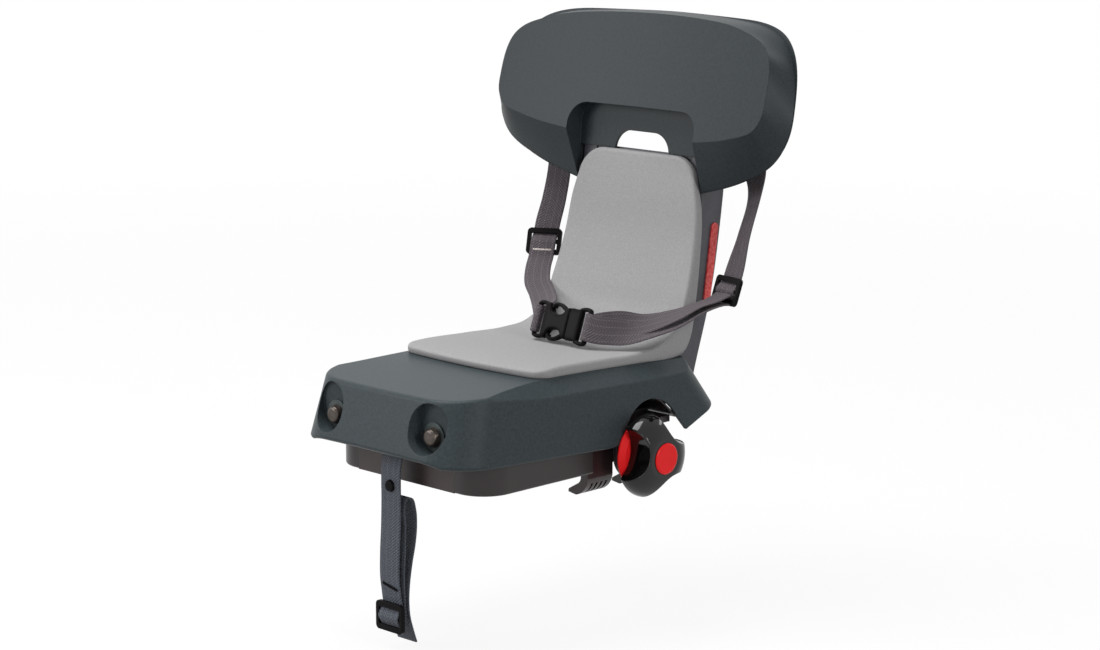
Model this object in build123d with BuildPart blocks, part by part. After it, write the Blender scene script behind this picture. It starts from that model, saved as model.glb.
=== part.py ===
"""Child bike seat: shell, pad, back frame, headrest, carrier clamp with knob, belts and safety strap.

Frame: Z up, -Y is the front (the child faces -Y), +X is the knob side. The origin lies on the
underside of the base, on the middle plane and on the line of the clamp spindle. Lengths in mm.
"""
import os
from math import cos, radians, sin

from build123d import *

os.makedirs("parts", exist_ok=True)

# Seat shell
wall = 3.0
crest_half_width = 101.0
rim_half_width = 108.0
front_crest_y = -213.0
front_rim_y = -228.0
rear_crest_y = 82.0
rear_rim_y = 123.0
crest_z = 86.0
rim_z = 28.0
front_bow = 5.0
front_corner_r = 46.0
rear_corner_r = 30.0
deck_edge_half_width = 88.0
crest_edge_r = 4.5
lower_edge_r = 2.5
arch_y = 18.0
arch_top_z = 58.0
skirt_tip_y = 60.0
skirt_tip_z = 24.0
recess_x = 62.5
recess_z = 61.5
recess_w = 39.0
recess_h = 43.5
recess_floor_y = -206.0
recess_floor = 4.0
bolt_z = 53.5
bolt_r = 4.0
bolt_boss_r = 10.0
flange_y = -189.0

# Seat pad
pad_t = 10.5
pad_half_width = 89.0
pad_top_z = 262.0
pad_front_y = -112.0
deck_pad_front_z = 91.0
deck_bend_y = 50.0
deck_bend_z = 86.0

# Back frame
frame_half_width = 76.0
frame_wall = 4.0
frame_foot_y = 65.0
frame_foot_z = 41.0
frame_top_z = 352.0
window_half_width = 60.0
window_low_z = 248.0
window_high_z = 300.0

# Headrest
head_half_width = 166.0
head_sag = 17.0
head_face_y = 99.0
head_face_z = 280.0
head_lean = 15.0
head_wall = 3.5
notch_half_width = 80.0
notch_top_z = 304.0
notch_corner_r = 20.0
rim_depth = 27.0
cover_depth = 26.0

# Base and clamp
skirt_gap = 7.0
base_front_y = -184.0
base_rear_y = -50.0
seam_half_width = 62.0
plate_z = 37.0
plate_t = 3.0
spindle_z = 12.0
spindle_r = 6.0
slide_clearance = 0.3
housing_half_y = 50.0
housing_wall = 2.8
jaw_outer_x = 88.0
jaw_inner_x = 34.0
tube_r = 7.0
leg_t = 8.5
claw_length = 32.0
claw_pitch = 56.0
bracket_x = 97.0
bracket_t = 5.0
knob_rear_x = 113.5
knob_front_x = 140.5
knob_face_x = 139.0
knob_r = 38.0
cap_r = 14.0

# Belts
webbing_w = 25.0
webbing_t = 1.6

plate_top_z = plate_z + plate_t
base_half_width = rim_half_width - wall - skirt_gap
base_corner_r = (base_half_width - seam_half_width) / 1.2
recess_points = [(recess_x, recess_z), (-recess_x, recess_z)]
bolt_points = [(recess_x, bolt_z), (-recess_x, bolt_z)]
guide_top_z = 31.0
floor_t = 2.5
front_slope = (front_crest_y - front_rim_y) / (crest_z - rim_z)
side_slope = (rim_half_width - crest_half_width) / (crest_z - rim_z)
rear_slope = (rear_rim_y - rear_crest_y) / (crest_z - rim_z)


def plan_outline(z, inset):
    """Face of the shell's plan outline at height z, moved inward by inset."""
    up = z - crest_z
    half = crest_half_width - side_slope * up
    front = front_crest_y + front_slope * up
    rear = rear_crest_y - rear_slope * up
    with BuildSketch(Plane.XY.offset(z)) as outline:
        with BuildLine():
            ThreePointArc((-half, front + front_bow), (0, front), (half, front + front_bow))
            Line((half, front + front_bow), (half, rear))
            Line((half, rear), (-half, rear))
            Line((-half, rear), (-half, front + front_bow))
        make_face()
        fillet(outline.vertices().group_by(Axis.Y)[0], front_corner_r)
        fillet(outline.vertices().group_by(Axis.Y)[-1], rear_corner_r)
        if inset > 0:
            offset(amount=-inset, mode=Mode.REPLACE)
    return outline.sketch


def deck_curve(drop):
    """Points of the deck line in the side view, lowered by drop."""
    return [
        (front_crest_y - 20, crest_z - 1 - drop),
        (front_crest_y, crest_z - drop),
        (pad_front_y, deck_pad_front_z - drop),
        (deck_bend_y, deck_bend_z - drop),
        (rear_crest_y + 60, deck_bend_z - 2 - drop),
    ]


def shoulder_cut(y, crest, drop):
    """Section of the wedge taken off the deck's side edge at station y."""
    deck = deck_bend_z + (deck_pad_front_z - deck_bend_z) * (deck_bend_y - y) / (deck_bend_y - pad_front_y)
    run = crest_half_width - deck_edge_half_width
    fall = (deck - crest) / run
    inner = deck_edge_half_width - drop * 0.6
    outer = rim_half_width + 10
    with BuildSketch(Plane.XZ.offset(-y)) as wedge:
        with BuildLine():
            Polyline(
                (inner, deck - drop),
                (outer, deck - drop - fall * (outer - inner)),
                (outer, deck + 20),
                (inner, deck + 20),
                close=True,
            )
        make_face()
    return wedge.sketch


def on_crest(edge):
    """True for the edges where the deck and its shoulders meet the shell's sides."""
    box = edge.bounding_box()
    front = box.max.Y < front_crest_y + 48 and box.min.Z > crest_z - 2
    outermost = min(abs(box.min.X), abs(box.max.X)) > crest_half_width - 0.5
    shoulder = outermost and box.size.Z < 7 and box.max.Y < rear_crest_y - 20
    return front or (shoulder and box.min.Z > crest_z - 14)


def on_lower_rim(edge):
    """True for the lower edges round the front of the shell, back to the arch."""
    box = edge.bounding_box()
    return edge.geom_type != GeomType.LINE and box.max.Y < arch_y - 50 and box.max.Z < plate_z


# Cavity under the seat shell, with the bolt cups and the screw bosses left standing
boss_points = [(-48, -150), (48, -150), (-48, -20), (48, -20)]
boss_r = 8.0
boss_hole_r = 2.2
shell_screw_head_r = 4.2
shell_screw_head_t = 2.6
with BuildPart() as shell_core:
    loft([plan_outline(rim_z - 24, wall), plan_outline(crest_z + 14, wall)], ruled=True)
    with BuildSketch(Plane.YZ) as core_side:
        with BuildLine():
            deck_line = Spline(*deck_curve(wall))
            Line(deck_line @ 1, (rear_crest_y + 60, -20))
            Line((rear_crest_y + 60, -20), (front_crest_y - 20, -20))
            Line((front_crest_y - 20, -20), deck_line @ 0)
        make_face()
    extrude(amount=rim_half_width + 20, both=True, mode=Mode.INTERSECT)
    for side in (1, -1):
        wedges = [
            shoulder_cut(front_crest_y + 6, crest_z + 3, wall),
            shoulder_cut(pad_front_y, 79, wall),
            shoulder_cut(rear_crest_y + 5, 75, wall),
        ]
        cut = loft(wedges, ruled=True, mode=Mode.PRIVATE)
        add(cut if side > 0 else mirror(cut, about=Plane.YZ, mode=Mode.PRIVATE), mode=Mode.SUBTRACT)
    with BuildSketch(Plane.XZ.offset(-(recess_floor_y + recess_floor))):
        with Locations(*recess_points):
            SlotOverall(recess_h + 2 * wall, recess_w + 2 * wall, rotation=90)
    extrude(amount=60, mode=Mode.SUBTRACT)
    with BuildSketch(Plane.XZ.offset(-flange_y)):
        with Locations(*bolt_points):
            Circle(bolt_boss_r)
    extrude(amount=60, mode=Mode.SUBTRACT)
    with BuildSketch(Plane.XY.offset(plate_top_z)):
        with Locations(*boss_points):
            Circle(boss_r)
    extrude(amount=80, mode=Mode.SUBTRACT)

# Seat shell: one moulding
with BuildPart() as seat_shell:
    loft([plan_outline(rim_z - 24, 0), plan_outline(crest_z + 14, 0)], ruled=True)
    with BuildSketch(Plane.YZ) as shell_side:
        with BuildLine():
            deck_line = Spline(*deck_curve(0))
            Line(deck_line @ 1, (rear_crest_y + 60, 54))
            Line((rear_crest_y + 60, 54), (112, 44))
            Line((112, 44), (skirt_tip_y, skirt_tip_z))
            Line((skirt_tip_y, skirt_tip_z), (arch_y + 30, arch_top_z - 19))
            ThreePointArc(
                (arch_y + 30, arch_top_z - 19), (arch_y, arch_top_z), (arch_y - 32.5, arch_top_z - 17)
            )
            Line((arch_y - 32.5, arch_top_z - 17), (arch_y - 45, 24))
            Line((arch_y - 45, 24), (arch_y - 54, 22))
            Line((arch_y - 54, 22), (front_rim_y + 10, 30))
            Line((front_rim_y + 10, 30), (front_rim_y - 2, 39))
            Line((front_rim_y - 2, 39), (front_crest_y - 20, 39))
            Line((front_crest_y - 20, 39), deck_line @ 0)
        make_face()
    extrude(amount=rim_half_width + 20, both=True, mode=Mode.INTERSECT)
    for side in (1, -1):
        wedges = [
            shoulder_cut(front_crest_y + 6, crest_z + 3, 0),
            shoulder_cut(pad_front_y, 79, 0),
            shoulder_cut(rear_crest_y + 5, 75, 0),
        ]
        cut = loft(wedges, ruled=True, mode=Mode.PRIVATE)
        add(cut if side > 0 else mirror(cut, about=Plane.YZ, mode=Mode.PRIVATE), mode=Mode.SUBTRACT)
    fillet(seat_shell.edges().filter_by(on_crest), crest_edge_r)
    fillet(seat_shell.edges().filter_by(on_lower_rim), lower_edge_r)
    add(shell_core.part, mode=Mode.SUBTRACT)
    with BuildSketch(Plane.XZ.offset(-recess_floor_y)):
        with Locations(*recess_points):
            SlotOverall(recess_h, recess_w, rotation=90)
    extrude(amount=60, mode=Mode.SUBTRACT)
    with BuildSketch(Plane.XZ.offset(-flange_y)):
        with Locations(*bolt_points):
            Circle(bolt_r)
    extrude(amount=flange_y - recess_floor_y, mode=Mode.SUBTRACT)
    with BuildSketch(Plane.XY.offset(plate_top_z)):
        with Locations(*boss_points):
            Circle(boss_hole_r)
    extrude(amount=20, mode=Mode.SUBTRACT)
    with BuildSketch(Plane.XY):
        with Locations((0, 100)):
            Rectangle(2 * (frame_half_width + 2.5), 76)
    extrude(amount=120, mode=Mode.SUBTRACT)
seat_shell.part.label = "seat_shell"
export_step(seat_shell.part, "parts/seat_shell.step")


def front_line(shift):
    """Points of the back frame's front face in the side view, moved back by shift."""
    return [
        (frame_foot_y + shift, 72),
        (74 + shift, 84),
        (85 + shift, 96),
        (94 + shift, 116),
        (101 + shift, 150),
        (108 + shift, 184),
        (114 + shift, 233),
        (121 + shift, 300),
        (126.5 + shift, frame_top_z),
    ]


def rear_line():
    """Points of the back frame's rear edge in the side view."""
    return [
        (99, frame_foot_z), (108, 74), (126, 130), (137, 184), (144, 233), (151, 300), (156, frame_top_z),
    ]


# Space inside the back frame's channel, crossed by three ribs
rib_levels = [112, 165, 218]
rib_t = 2.5
with BuildPart() as frame_core:
    with BuildSketch(Plane.YZ):
        with BuildLine():
            inner = Spline(*front_line(frame_wall))
            Line(inner @ 1, (200, frame_top_z))
            Line((200, frame_top_z), (200, 72))
            Line((200, 72), inner @ 0)
        make_face()
    extrude(amount=frame_half_width - frame_wall, both=True)
    for level in rib_levels:
        with Locations((0, 130, level)):
            Box(2 * frame_half_width, 120, rib_t, mode=Mode.SUBTRACT)

# Back frame: moulded channel, open to the rear, with a flat foot for its bolts
frame_bolt_points = [(-32, 57), (32, 57)]
frame_bolt_r = 3.0
head_screw_points = [(-46, 320), (46, 320), (-46, 343), (46, 343)]
head_screw_r = 2.0
head_screw_tip_y = 119.0
with BuildPart() as back_frame:
    with BuildSketch(Plane.YZ):
        with BuildLine():
            front = Spline(*front_line(0))
            rear = Spline(*rear_line())
            Line(front @ 1, rear @ 1)
            Line(rear @ 0, (frame_foot_y, frame_foot_z))
            Line((frame_foot_y, frame_foot_z), front @ 0)
        make_face()
    extrude(amount=frame_half_width, both=True)
    add(frame_core.part, mode=Mode.SUBTRACT)
    with BuildSketch(Plane.XZ):
        with Locations((0, (window_low_z + window_high_z) / 2)):
            RectangleRounded(2 * window_half_width, window_high_z - window_low_z, 12)
    extrude(amount=-220, mode=Mode.SUBTRACT)
    with BuildSketch(Plane.XZ.offset(-frame_foot_y - frame_wall)):
        with Locations((0, 56)):
            Rectangle(2 * (frame_half_width - frame_wall), 31)
    extrude(amount=-60, mode=Mode.SUBTRACT)
    with BuildSketch(Plane.XZ.offset(-frame_foot_y)):
        with Locations(*frame_bolt_points):
            Circle(frame_bolt_r)
    extrude(amount=-10, mode=Mode.SUBTRACT)
    with BuildSketch(Plane.XZ):
        with Locations(*head_screw_points):
            Circle(head_screw_r)
    extrude(amount=-220, mode=Mode.SUBTRACT)
back_frame.part.label = "back_frame"
export_step(back_frame.part, "parts/back_frame.step")

# Reflector strips, one on each side flange of the back frame
reflector_w = 9.0
reflector_t = 1.5
with BuildPart() as reflector_right:
    with BuildSketch(Plane.YZ.offset(frame_half_width)):
        with BuildLine():
            Polyline((116, 127), (125, 127), (135.5, 197), (126.5, 197), close=True)
        make_face()
        with Locations((131, 197)):
            Circle(reflector_w / 2)
    extrude(amount=reflector_t)
reflector_right.part.label = "reflector_right"
export_step(reflector_right.part, "parts/reflector_right.step")

with BuildPart() as reflector_left:
    mirror(reflector_right.part, about=Plane.YZ)
reflector_left.part.label = "reflector_left"
export_step(reflector_left.part, "parts/reflector_left.step")

# Seat pad: one L-shaped pad, its underside follows the deck and the front of the back frame
with BuildPart() as seat_pad:
    with BuildSketch(Plane.YZ):
        with BuildLine():
            under = Spline(
                (pad_front_y, deck_pad_front_z - 1),
                (-30, 87.5),
                (46, 85),
                (66, 84),
                (80, 88),
                (90, 101),
                (98, 130),
                (109, 184),
                (115, 233),
                (118, pad_top_z),
            )
            over = Spline(
                (pad_front_y, deck_pad_front_z + 9),
                (-100, deck_pad_front_z + pad_t - 1),
                (-30, 88.5 + pad_t),
                (30, 86.5 + pad_t),
                (58, 89 + pad_t),
                (74, 111),
                (85, 134),
                (98.5, 186),
                (104.5, 234),
                (109, pad_top_z),
            )
            Line(under @ 0, over @ 0)
            Line(under @ 1, over @ 1)
        make_face()
    extrude(amount=pad_half_width, both=True)
    with BuildSketch(Plane.XY.offset(40)) as pad_plan:
        with BuildLine():
            ThreePointArc(
                (-pad_half_width, pad_front_y + 4), (0, pad_front_y), (pad_half_width, pad_front_y + 4)
            )
            Line((pad_half_width, pad_front_y + 4), (pad_half_width - 3, 140))
            Line((pad_half_width - 3, 140), (3 - pad_half_width, 140))
            Line((3 - pad_half_width, 140), (-pad_half_width, pad_front_y + 4))
        make_face()
        fillet(pad_plan.vertices().group_by(Axis.Y)[0], 14)
    extrude(amount=300, mode=Mode.INTERSECT)
    with BuildSketch(Plane.XZ) as pad_front_view:
        with BuildLine():
            Polyline(
                (-95, 60), (95, 60), (95, 120), (87, 178), (79, 216), (66, 250), (40, pad_top_z),
                (-40, pad_top_z), (-66, 250), (-79, 216), (-87, 178), (-95, 120), close=True,
            )
        make_face()
        fillet(pad_front_view.vertices().sort_by(Axis.Y)[2:], 14)
    extrude(amount=300, both=True, mode=Mode.INTERSECT)
    add(seat_shell.part, mode=Mode.SUBTRACT)
    add(back_frame.part, mode=Mode.SUBTRACT)
seat_pad.part.label = "seat_pad"
export_step(seat_pad.part, "parts/seat_pad.step")


# Headrest: the front face leans back and is hollowed across its width, so outlines are drawn on planes
# square to the lean; u runs along X, v up the face
lean_up = (0, sin(radians(head_lean)), cos(radians(head_lean)))
lean_out = (0, -cos(radians(head_lean)), sin(radians(head_lean)))
head_origin = Vector(0, head_face_y - head_sag, head_face_z)
head_plane = Plane(origin=head_origin, x_dir=(1, 0, 0), z_dir=lean_out)
head_section_plane = Plane(origin=head_origin, x_dir=(1, 0, 0), z_dir=lean_up)
face_outline = [
    (87, 24), (113, 20), (138, 18.5), (157, 21), (165, 31), (166.5, 45), (165, 69), (158, 87),
    (146, 97), (122, 103.5), (89, 108.5), (50, 111.5),
]
back_outline = [
    (76, -52), (122.5, -46), (167, -33), (192.5, -13), (199, 9), (195.5, 33), (190, 59), (180, 88),
    (164.5, 107), (144, 117), (103, 122.5), (59, 124.7),
]
cover_front_outline = [
    (80, -60), (124.5, -46), (163, -25), (184, -3), (191, 18), (191, 39), (188.5, 64), (181, 91),
    (166, 112), (142, 124.5), (101, 132), (58, 136),
]
cover_rear_outline = [
    (76, -14), (104, -1), (123, 13), (133, 27), (136, 42), (135, 58), (131, 73), (123, 88),
    (110, 98), (92, 104.5), (66, 108), (36, 109.6),
]


def head_outline(points, top_v, depth, inset):
    """Face of a headrest outline, mirrored about the middle, at a depth behind the wing plane."""
    low_v = min(v for u, v in points)
    mid_v = (low_v + top_v) / 2
    scale_u = 1 - inset / max(u for u, v in points)
    scale_v = 1 - 2 * inset / (top_v - low_v)
    half = [(u * scale_u, mid_v + (v - mid_v) * scale_v) for u, v in points]
    top = (0, mid_v + (top_v - mid_v) * scale_v)
    mirrored = [(-u, v) for u, v in half]
    with BuildSketch(head_plane.offset(-depth)) as outline:
        with BuildLine():
            edge = Spline(*half, top, *reversed(mirrored))
            Line(edge @ 1, edge @ 0)
        make_face()
    return outline.sketch


def head_slab(near, far):
    """Curved slab between two depths below the hollowed face, measured on the middle line."""
    reach = 240
    sag = head_sag * (reach / head_half_width) ** 2
    with BuildSketch(head_section_plane.offset(-90)) as section:
        with BuildLine():
            low = ThreePointArc((-reach, near - sag), (0, near), (reach, near - sag))
            high = ThreePointArc((-reach, far - sag), (0, far), (reach, far - sag))
            Line(low @ 0, high @ 0)
            Line(low @ 1, high @ 1)
        make_face()
    return extrude(section.sketch, amount=260, mode=Mode.PRIVATE)


def notch_sketch(grow):
    """Front view of the notch over the pad, widened by grow."""
    half = notch_half_width + grow
    with BuildSketch(Plane.XZ) as opening:
        with BuildLine():
            Polyline(
                (-half + 3, 180), (half - 3, 180), (half, 284), (half, notch_top_z + grow),
                (-half, notch_top_z + grow), (-half, 284), close=True,
            )
        make_face()
        fillet(opening.vertices().group_by(Axis.Y)[-1], notch_corner_r)
    return opening.sketch


rim_mid_depth = head_sag + rim_depth
cover_mid_depth = rim_mid_depth + cover_depth

# Hollow of the headrest shell, with the walls of the notch and four screw bosses left standing
head_boss_r = 6.0
with BuildPart() as head_core:
    loft([head_outline(face_outline, 112.5, -1, head_wall), head_outline(back_outline, 126, 48, head_wall)])
    add(head_slab(head_sag + head_wall, 120), mode=Mode.INTERSECT)
    extrude(notch_sketch(head_wall), amount=-200, mode=Mode.SUBTRACT)
    with BuildSketch(Plane.XZ):
        with Locations(*head_screw_points):
            Circle(head_boss_r)
    extrude(amount=-140, mode=Mode.SUBTRACT)

# Space taken by the back frame where it stands in the headrest
with BuildPart() as frame_space:
    with BuildSketch(Plane.YZ):
        with BuildLine():
            edge = Spline(*front_line(0))
            Line(edge @ 1, (230, frame_top_z + 0.2))
            Line((230, frame_top_z + 0.2), (230, 72))
            Line((230, 72), edge @ 0)
        make_face()
    extrude(amount=frame_half_width + 0.3, both=True)

# Headrest shell: front moulding, with the web and its arch window behind the notch
web_t = 3.0
with BuildPart() as headrest_shell:
    loft([head_outline(face_outline, 112.5, -1, 0), head_outline(back_outline, 126, 48, 0)])
    add(head_slab(head_sag, rim_mid_depth), mode=Mode.INTERSECT)
    extrude(notch_sketch(0), amount=-200, mode=Mode.SUBTRACT)
    add(head_core.part, mode=Mode.SUBTRACT)
    with BuildSketch(Plane.YZ):
        with BuildLine():
            Polyline(
                (117.2 - web_t, 262.4), (117.2, 262.4),
                (121.6, notch_top_z + 2), (121.6 - web_t, notch_top_z + 2), close=True,
            )
        make_face()
    extrude(amount=notch_half_width + 1, both=True)
    with BuildSketch(Plane.XZ) as window:
        with Locations((0, 260)):
            Rectangle(68, 40)
        fillet(window.vertices().group_by(Axis.Y)[-1], 19)
    extrude(amount=-150, mode=Mode.SUBTRACT)
    add(frame_space.part, mode=Mode.SUBTRACT)
    with BuildSketch(Plane.XZ.offset(-head_screw_tip_y)):
        with Locations(*head_screw_points):
            Circle(head_screw_r)
    extrude(amount=-30, mode=Mode.SUBTRACT)
headrest_shell.part.label = "headrest_shell"
export_step(headrest_shell.part, "parts/headrest_shell.step")

# Headrest cover: rear moulding, closed against the rim of the shell
cover_boss_r = 7.0
belt_anchor_x = 125.0
belt_anchor_y = 131.0
belt_screw_z = 267.0
belt_screw_points = [(belt_anchor_x, belt_screw_z), (-belt_anchor_x, belt_screw_z)]
belt_boss_r = 8.0
belt_screw_r = 2.2
screw_head_r = 4.5
screw_seat_y = 150.0
with BuildPart() as cover_core:
    inner_front = head_outline(cover_front_outline, 139, 15, head_wall)
    inner_rear = head_outline(cover_rear_outline, 110, 75, head_wall)
    loft([inner_front, inner_rear])
    add(head_slab(rim_mid_depth - 5, cover_mid_depth - head_wall), mode=Mode.INTERSECT)
    extrude(notch_sketch(head_wall), amount=-220, mode=Mode.SUBTRACT)
    with BuildSketch(Plane.XZ.offset(-124)):
        with Locations(*head_screw_points):
            Circle(cover_boss_r)
    extrude(amount=-60, mode=Mode.SUBTRACT)
    with BuildSketch(Plane.XZ.offset(-(belt_anchor_y + webbing_t / 2))):
        with Locations(*belt_screw_points):
            Circle(belt_boss_r)
    extrude(amount=-60, mode=Mode.SUBTRACT)

with BuildPart() as headrest_cover:
    loft([head_outline(cover_front_outline, 139, 15, 0), head_outline(cover_rear_outline, 110, 75, 0)])
    add(head_slab(rim_mid_depth, cover_mid_depth), mode=Mode.INTERSECT)
    extrude(notch_sketch(0), amount=-220, mode=Mode.SUBTRACT)
    add(cover_core.part, mode=Mode.SUBTRACT)
    add(back_frame.part, mode=Mode.SUBTRACT)
    with BuildSketch(Plane.XZ.offset(-124)):
        with Locations(*head_screw_points):
            Circle(head_screw_r)
    extrude(amount=-80, mode=Mode.SUBTRACT)
    with BuildSketch(Plane.XZ.offset(-screw_seat_y)):
        with Locations(*head_screw_points):
            Circle(screw_head_r)
    extrude(amount=-40, mode=Mode.SUBTRACT)
    with BuildSketch(Plane.XZ.offset(-belt_anchor_y)):
        with Locations(*belt_screw_points):
            Circle(belt_screw_r)
    extrude(amount=-8, mode=Mode.SUBTRACT)
    for side in (1, -1):
        with Locations((side * belt_anchor_x, belt_anchor_y, 244)):
            Box(webbing_w + 3, webbing_t + 3, 36, mode=Mode.SUBTRACT)
headrest_cover.part.label = "headrest_cover"
export_step(headrest_cover.part, "parts/headrest_cover.step")

# Screws that hold the headrest's two halves on the back frame
with BuildPart() as headrest_screws:
    with BuildSketch(Plane.XZ.offset(-head_screw_tip_y)):
        with Locations(*head_screw_points):
            Circle(head_screw_r)
    extrude(amount=-(screw_seat_y - head_screw_tip_y))
    with BuildSketch(Plane.XZ.offset(-screw_seat_y)):
        with Locations(*head_screw_points):
            Circle(screw_head_r - 0.5)
    extrude(amount=-3)
headrest_screws.part.label = "headrest_screws"
export_step(headrest_screws.part, "parts/headrest_screws.step")

# Base plate: pressed steel sub-frame with a flange at each end
rail_screw_points = [(66, -165), (66, -70)]
cover_screw_points = [(-30, -165), (30, -165), (-30, -60), (30, -60)]
base_screw_points = rail_screw_points + [(-x, y) for x, y in rail_screw_points] + cover_screw_points
housing_screw_points = [(-62, -34), (62, -34), (-62, 34), (62, 34)]
base_screw_r = 1.8
strap_rivet_z = 60.0
strap_rivet_r = 2.4
plate_half_width = 70.0
front_flange_top_z = 78.0
with BuildPart() as base_plate:
    with Locations((0, (flange_y + frame_foot_y) / 2, plate_z + plate_t / 2)):
        Box(2 * plate_half_width, frame_foot_y - flange_y, plate_t)
    with Locations((0, flange_y + plate_t / 2, (plate_z + front_flange_top_z) / 2)):
        Box(164, plate_t, front_flange_top_z - plate_z)
    with Locations((0, frame_foot_y - plate_t / 2, (plate_z + 73) / 2)):
        Box(104, plate_t, 73 - plate_z)
    with BuildSketch(Plane.XZ.offset(-flange_y)):
        with Locations(*bolt_points):
            Circle(bolt_r)
        with Locations((0, strap_rivet_z)):
            Circle(strap_rivet_r)
    extrude(amount=-plate_t, mode=Mode.SUBTRACT)
    with BuildSketch(Plane.XZ.offset(-frame_foot_y)):
        with Locations(*frame_bolt_points):
            Circle(frame_bolt_r)
    extrude(amount=plate_t, mode=Mode.SUBTRACT)
    with BuildSketch(Plane.XY.offset(plate_z)):
        with Locations(*boss_points):
            Circle(boss_hole_r)
        with Locations(*base_screw_points):
            Circle(base_screw_r)
        with Locations(*housing_screw_points):
            Circle(base_screw_r)
        with Locations((0, -140), (0, -95)):
            SlotCenterToCenter(40, 24)
    extrude(amount=plate_t, mode=Mode.SUBTRACT)
base_plate.part.label = "base_plate"
export_step(base_plate.part, "parts/base_plate.step")

# Screws up through the base plate into the shell's bosses
with BuildPart() as shell_screws:
    with BuildSketch(Plane.XY.offset(plate_z)):
        with Locations(*boss_points):
            Circle(boss_hole_r)
    extrude(amount=plate_t + 18)
    with BuildSketch(Plane.XY.offset(plate_z)):
        with Locations(*boss_points):
            Circle(shell_screw_head_r)
    extrude(amount=-shell_screw_head_t)
shell_screws.part.label = "shell_screws"
export_step(shell_screws.part, "parts/shell_screws.step")

# Front bolts: dome heads in the recesses, ring washers under them, nuts behind the flange
washer_t = 1.6
with BuildPart() as front_bolts:
    with BuildSketch(Plane.XZ.offset(-(recess_floor_y - washer_t))):
        with Locations(*bolt_points):
            Circle(9.0)
    extrude(amount=6.5, taper=18)
    fillet(front_bolts.faces().group_by(Axis.Y)[0].edges(), 3.0)
    with BuildSketch(Plane.XZ.offset(-(recess_floor_y - washer_t))):
        with Locations(*bolt_points):
            Circle(bolt_r)
    extrude(amount=-(washer_t + flange_y - recess_floor_y + plate_t + 8))
front_bolts.part.label = "front_bolts"
export_step(front_bolts.part, "parts/front_bolts.step")

with BuildPart() as front_washers:
    with BuildSketch(Plane.XZ.offset(-recess_floor_y)):
        with Locations(*bolt_points):
            Circle(12.8)
            Circle(bolt_r, mode=Mode.SUBTRACT)
    extrude(amount=washer_t)
front_washers.part.label = "front_washers"
export_step(front_washers.part, "parts/front_washers.step")

with BuildPart() as front_nuts:
    with BuildSketch(Plane.XZ.offset(-(flange_y + plate_t))):
        with Locations(*bolt_points):
            RegularPolygon(7.0, 6, major_radius=False)
            Circle(bolt_r, mode=Mode.SUBTRACT)
    extrude(amount=-6.5)
front_nuts.part.label = "front_nuts"
export_step(front_nuts.part, "parts/front_nuts.step")

# Frame bolts and nuts: back frame to the base plate's rear flange
with BuildPart() as frame_bolts:
    with BuildSketch(Plane.XZ.offset(-(frame_foot_y + frame_wall))):
        with Locations(*frame_bolt_points):
            Circle(5.5)
    extrude(amount=-4)
    with BuildSketch(Plane.XZ.offset(-(frame_foot_y + frame_wall))):
        with Locations(*frame_bolt_points):
            Circle(frame_bolt_r)
    extrude(amount=frame_wall + plate_t + 7)
frame_bolts.part.label = "frame_bolts"
export_step(frame_bolts.part, "parts/frame_bolts.step")

with BuildPart() as frame_nuts:
    with BuildSketch(Plane.XZ.offset(-(frame_foot_y - plate_t))):
        with Locations(*frame_bolt_points):
            RegularPolygon(5.0, 6, major_radius=False)
            Circle(frame_bolt_r, mode=Mode.SUBTRACT)
    extrude(amount=5)
frame_nuts.part.label = "frame_nuts"
export_step(frame_nuts.part, "parts/frame_nuts.step")

# Base rails: trays round the two front corners, screwed up to the plate
base_wall = 3.0
rail_boss_r = 4.0
base_head_r = 3.4
base_head_t = 2.2
pocket_corner_r = 0.8 * base_corner_r
with BuildPart() as base_rail_right:
    with BuildSketch() as rail_plan:
        with BuildLine():
            Polyline(
                (seam_half_width, base_front_y), (base_half_width, base_front_y),
                (base_half_width, base_rear_y), (seam_half_width, base_rear_y), close=True,
            )
        make_face()
        fillet(rail_plan.vertices().sort_by(Axis.X)[-2:].sort_by(Axis.Y)[0], base_corner_r)
    extrude(amount=plate_z)
    fillet(base_rail_right.faces().sort_by(Axis.Z)[0].edges().sort_by(Axis.X)[1:], 2.0)
    with BuildSketch(Plane.XY.offset(base_wall)) as rail_pocket:
        with BuildLine():
            Polyline(
                (seam_half_width + base_wall, base_front_y + base_wall),
                (base_half_width - base_wall, base_front_y + base_wall),
                (base_half_width - base_wall, base_rear_y - base_wall),
                (seam_half_width + base_wall, base_rear_y - base_wall), close=True,
            )
        make_face()
        fillet(rail_pocket.vertices().sort_by(Axis.X)[-2:].sort_by(Axis.Y)[0], pocket_corner_r)
        with Locations(*rail_screw_points):
            Circle(rail_boss_r, mode=Mode.SUBTRACT)
    extrude(amount=plate_z, mode=Mode.SUBTRACT)
    with BuildSketch():
        with Locations(*rail_screw_points):
            Circle(base_screw_r)
    extrude(amount=plate_z, mode=Mode.SUBTRACT)
    with BuildSketch():
        with Locations(*rail_screw_points):
            Circle(base_head_r)
    extrude(amount=base_head_t, mode=Mode.SUBTRACT)
base_rail_right.part.label = "base_rail_right"
export_step(base_rail_right.part, "parts/base_rail_right.step")

with BuildPart() as base_rail_left:
    mirror(base_rail_right.part, about=Plane.YZ)
base_rail_left.part.label = "base_rail_left"
export_step(base_rail_left.part, "parts/base_rail_left.step")

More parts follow.
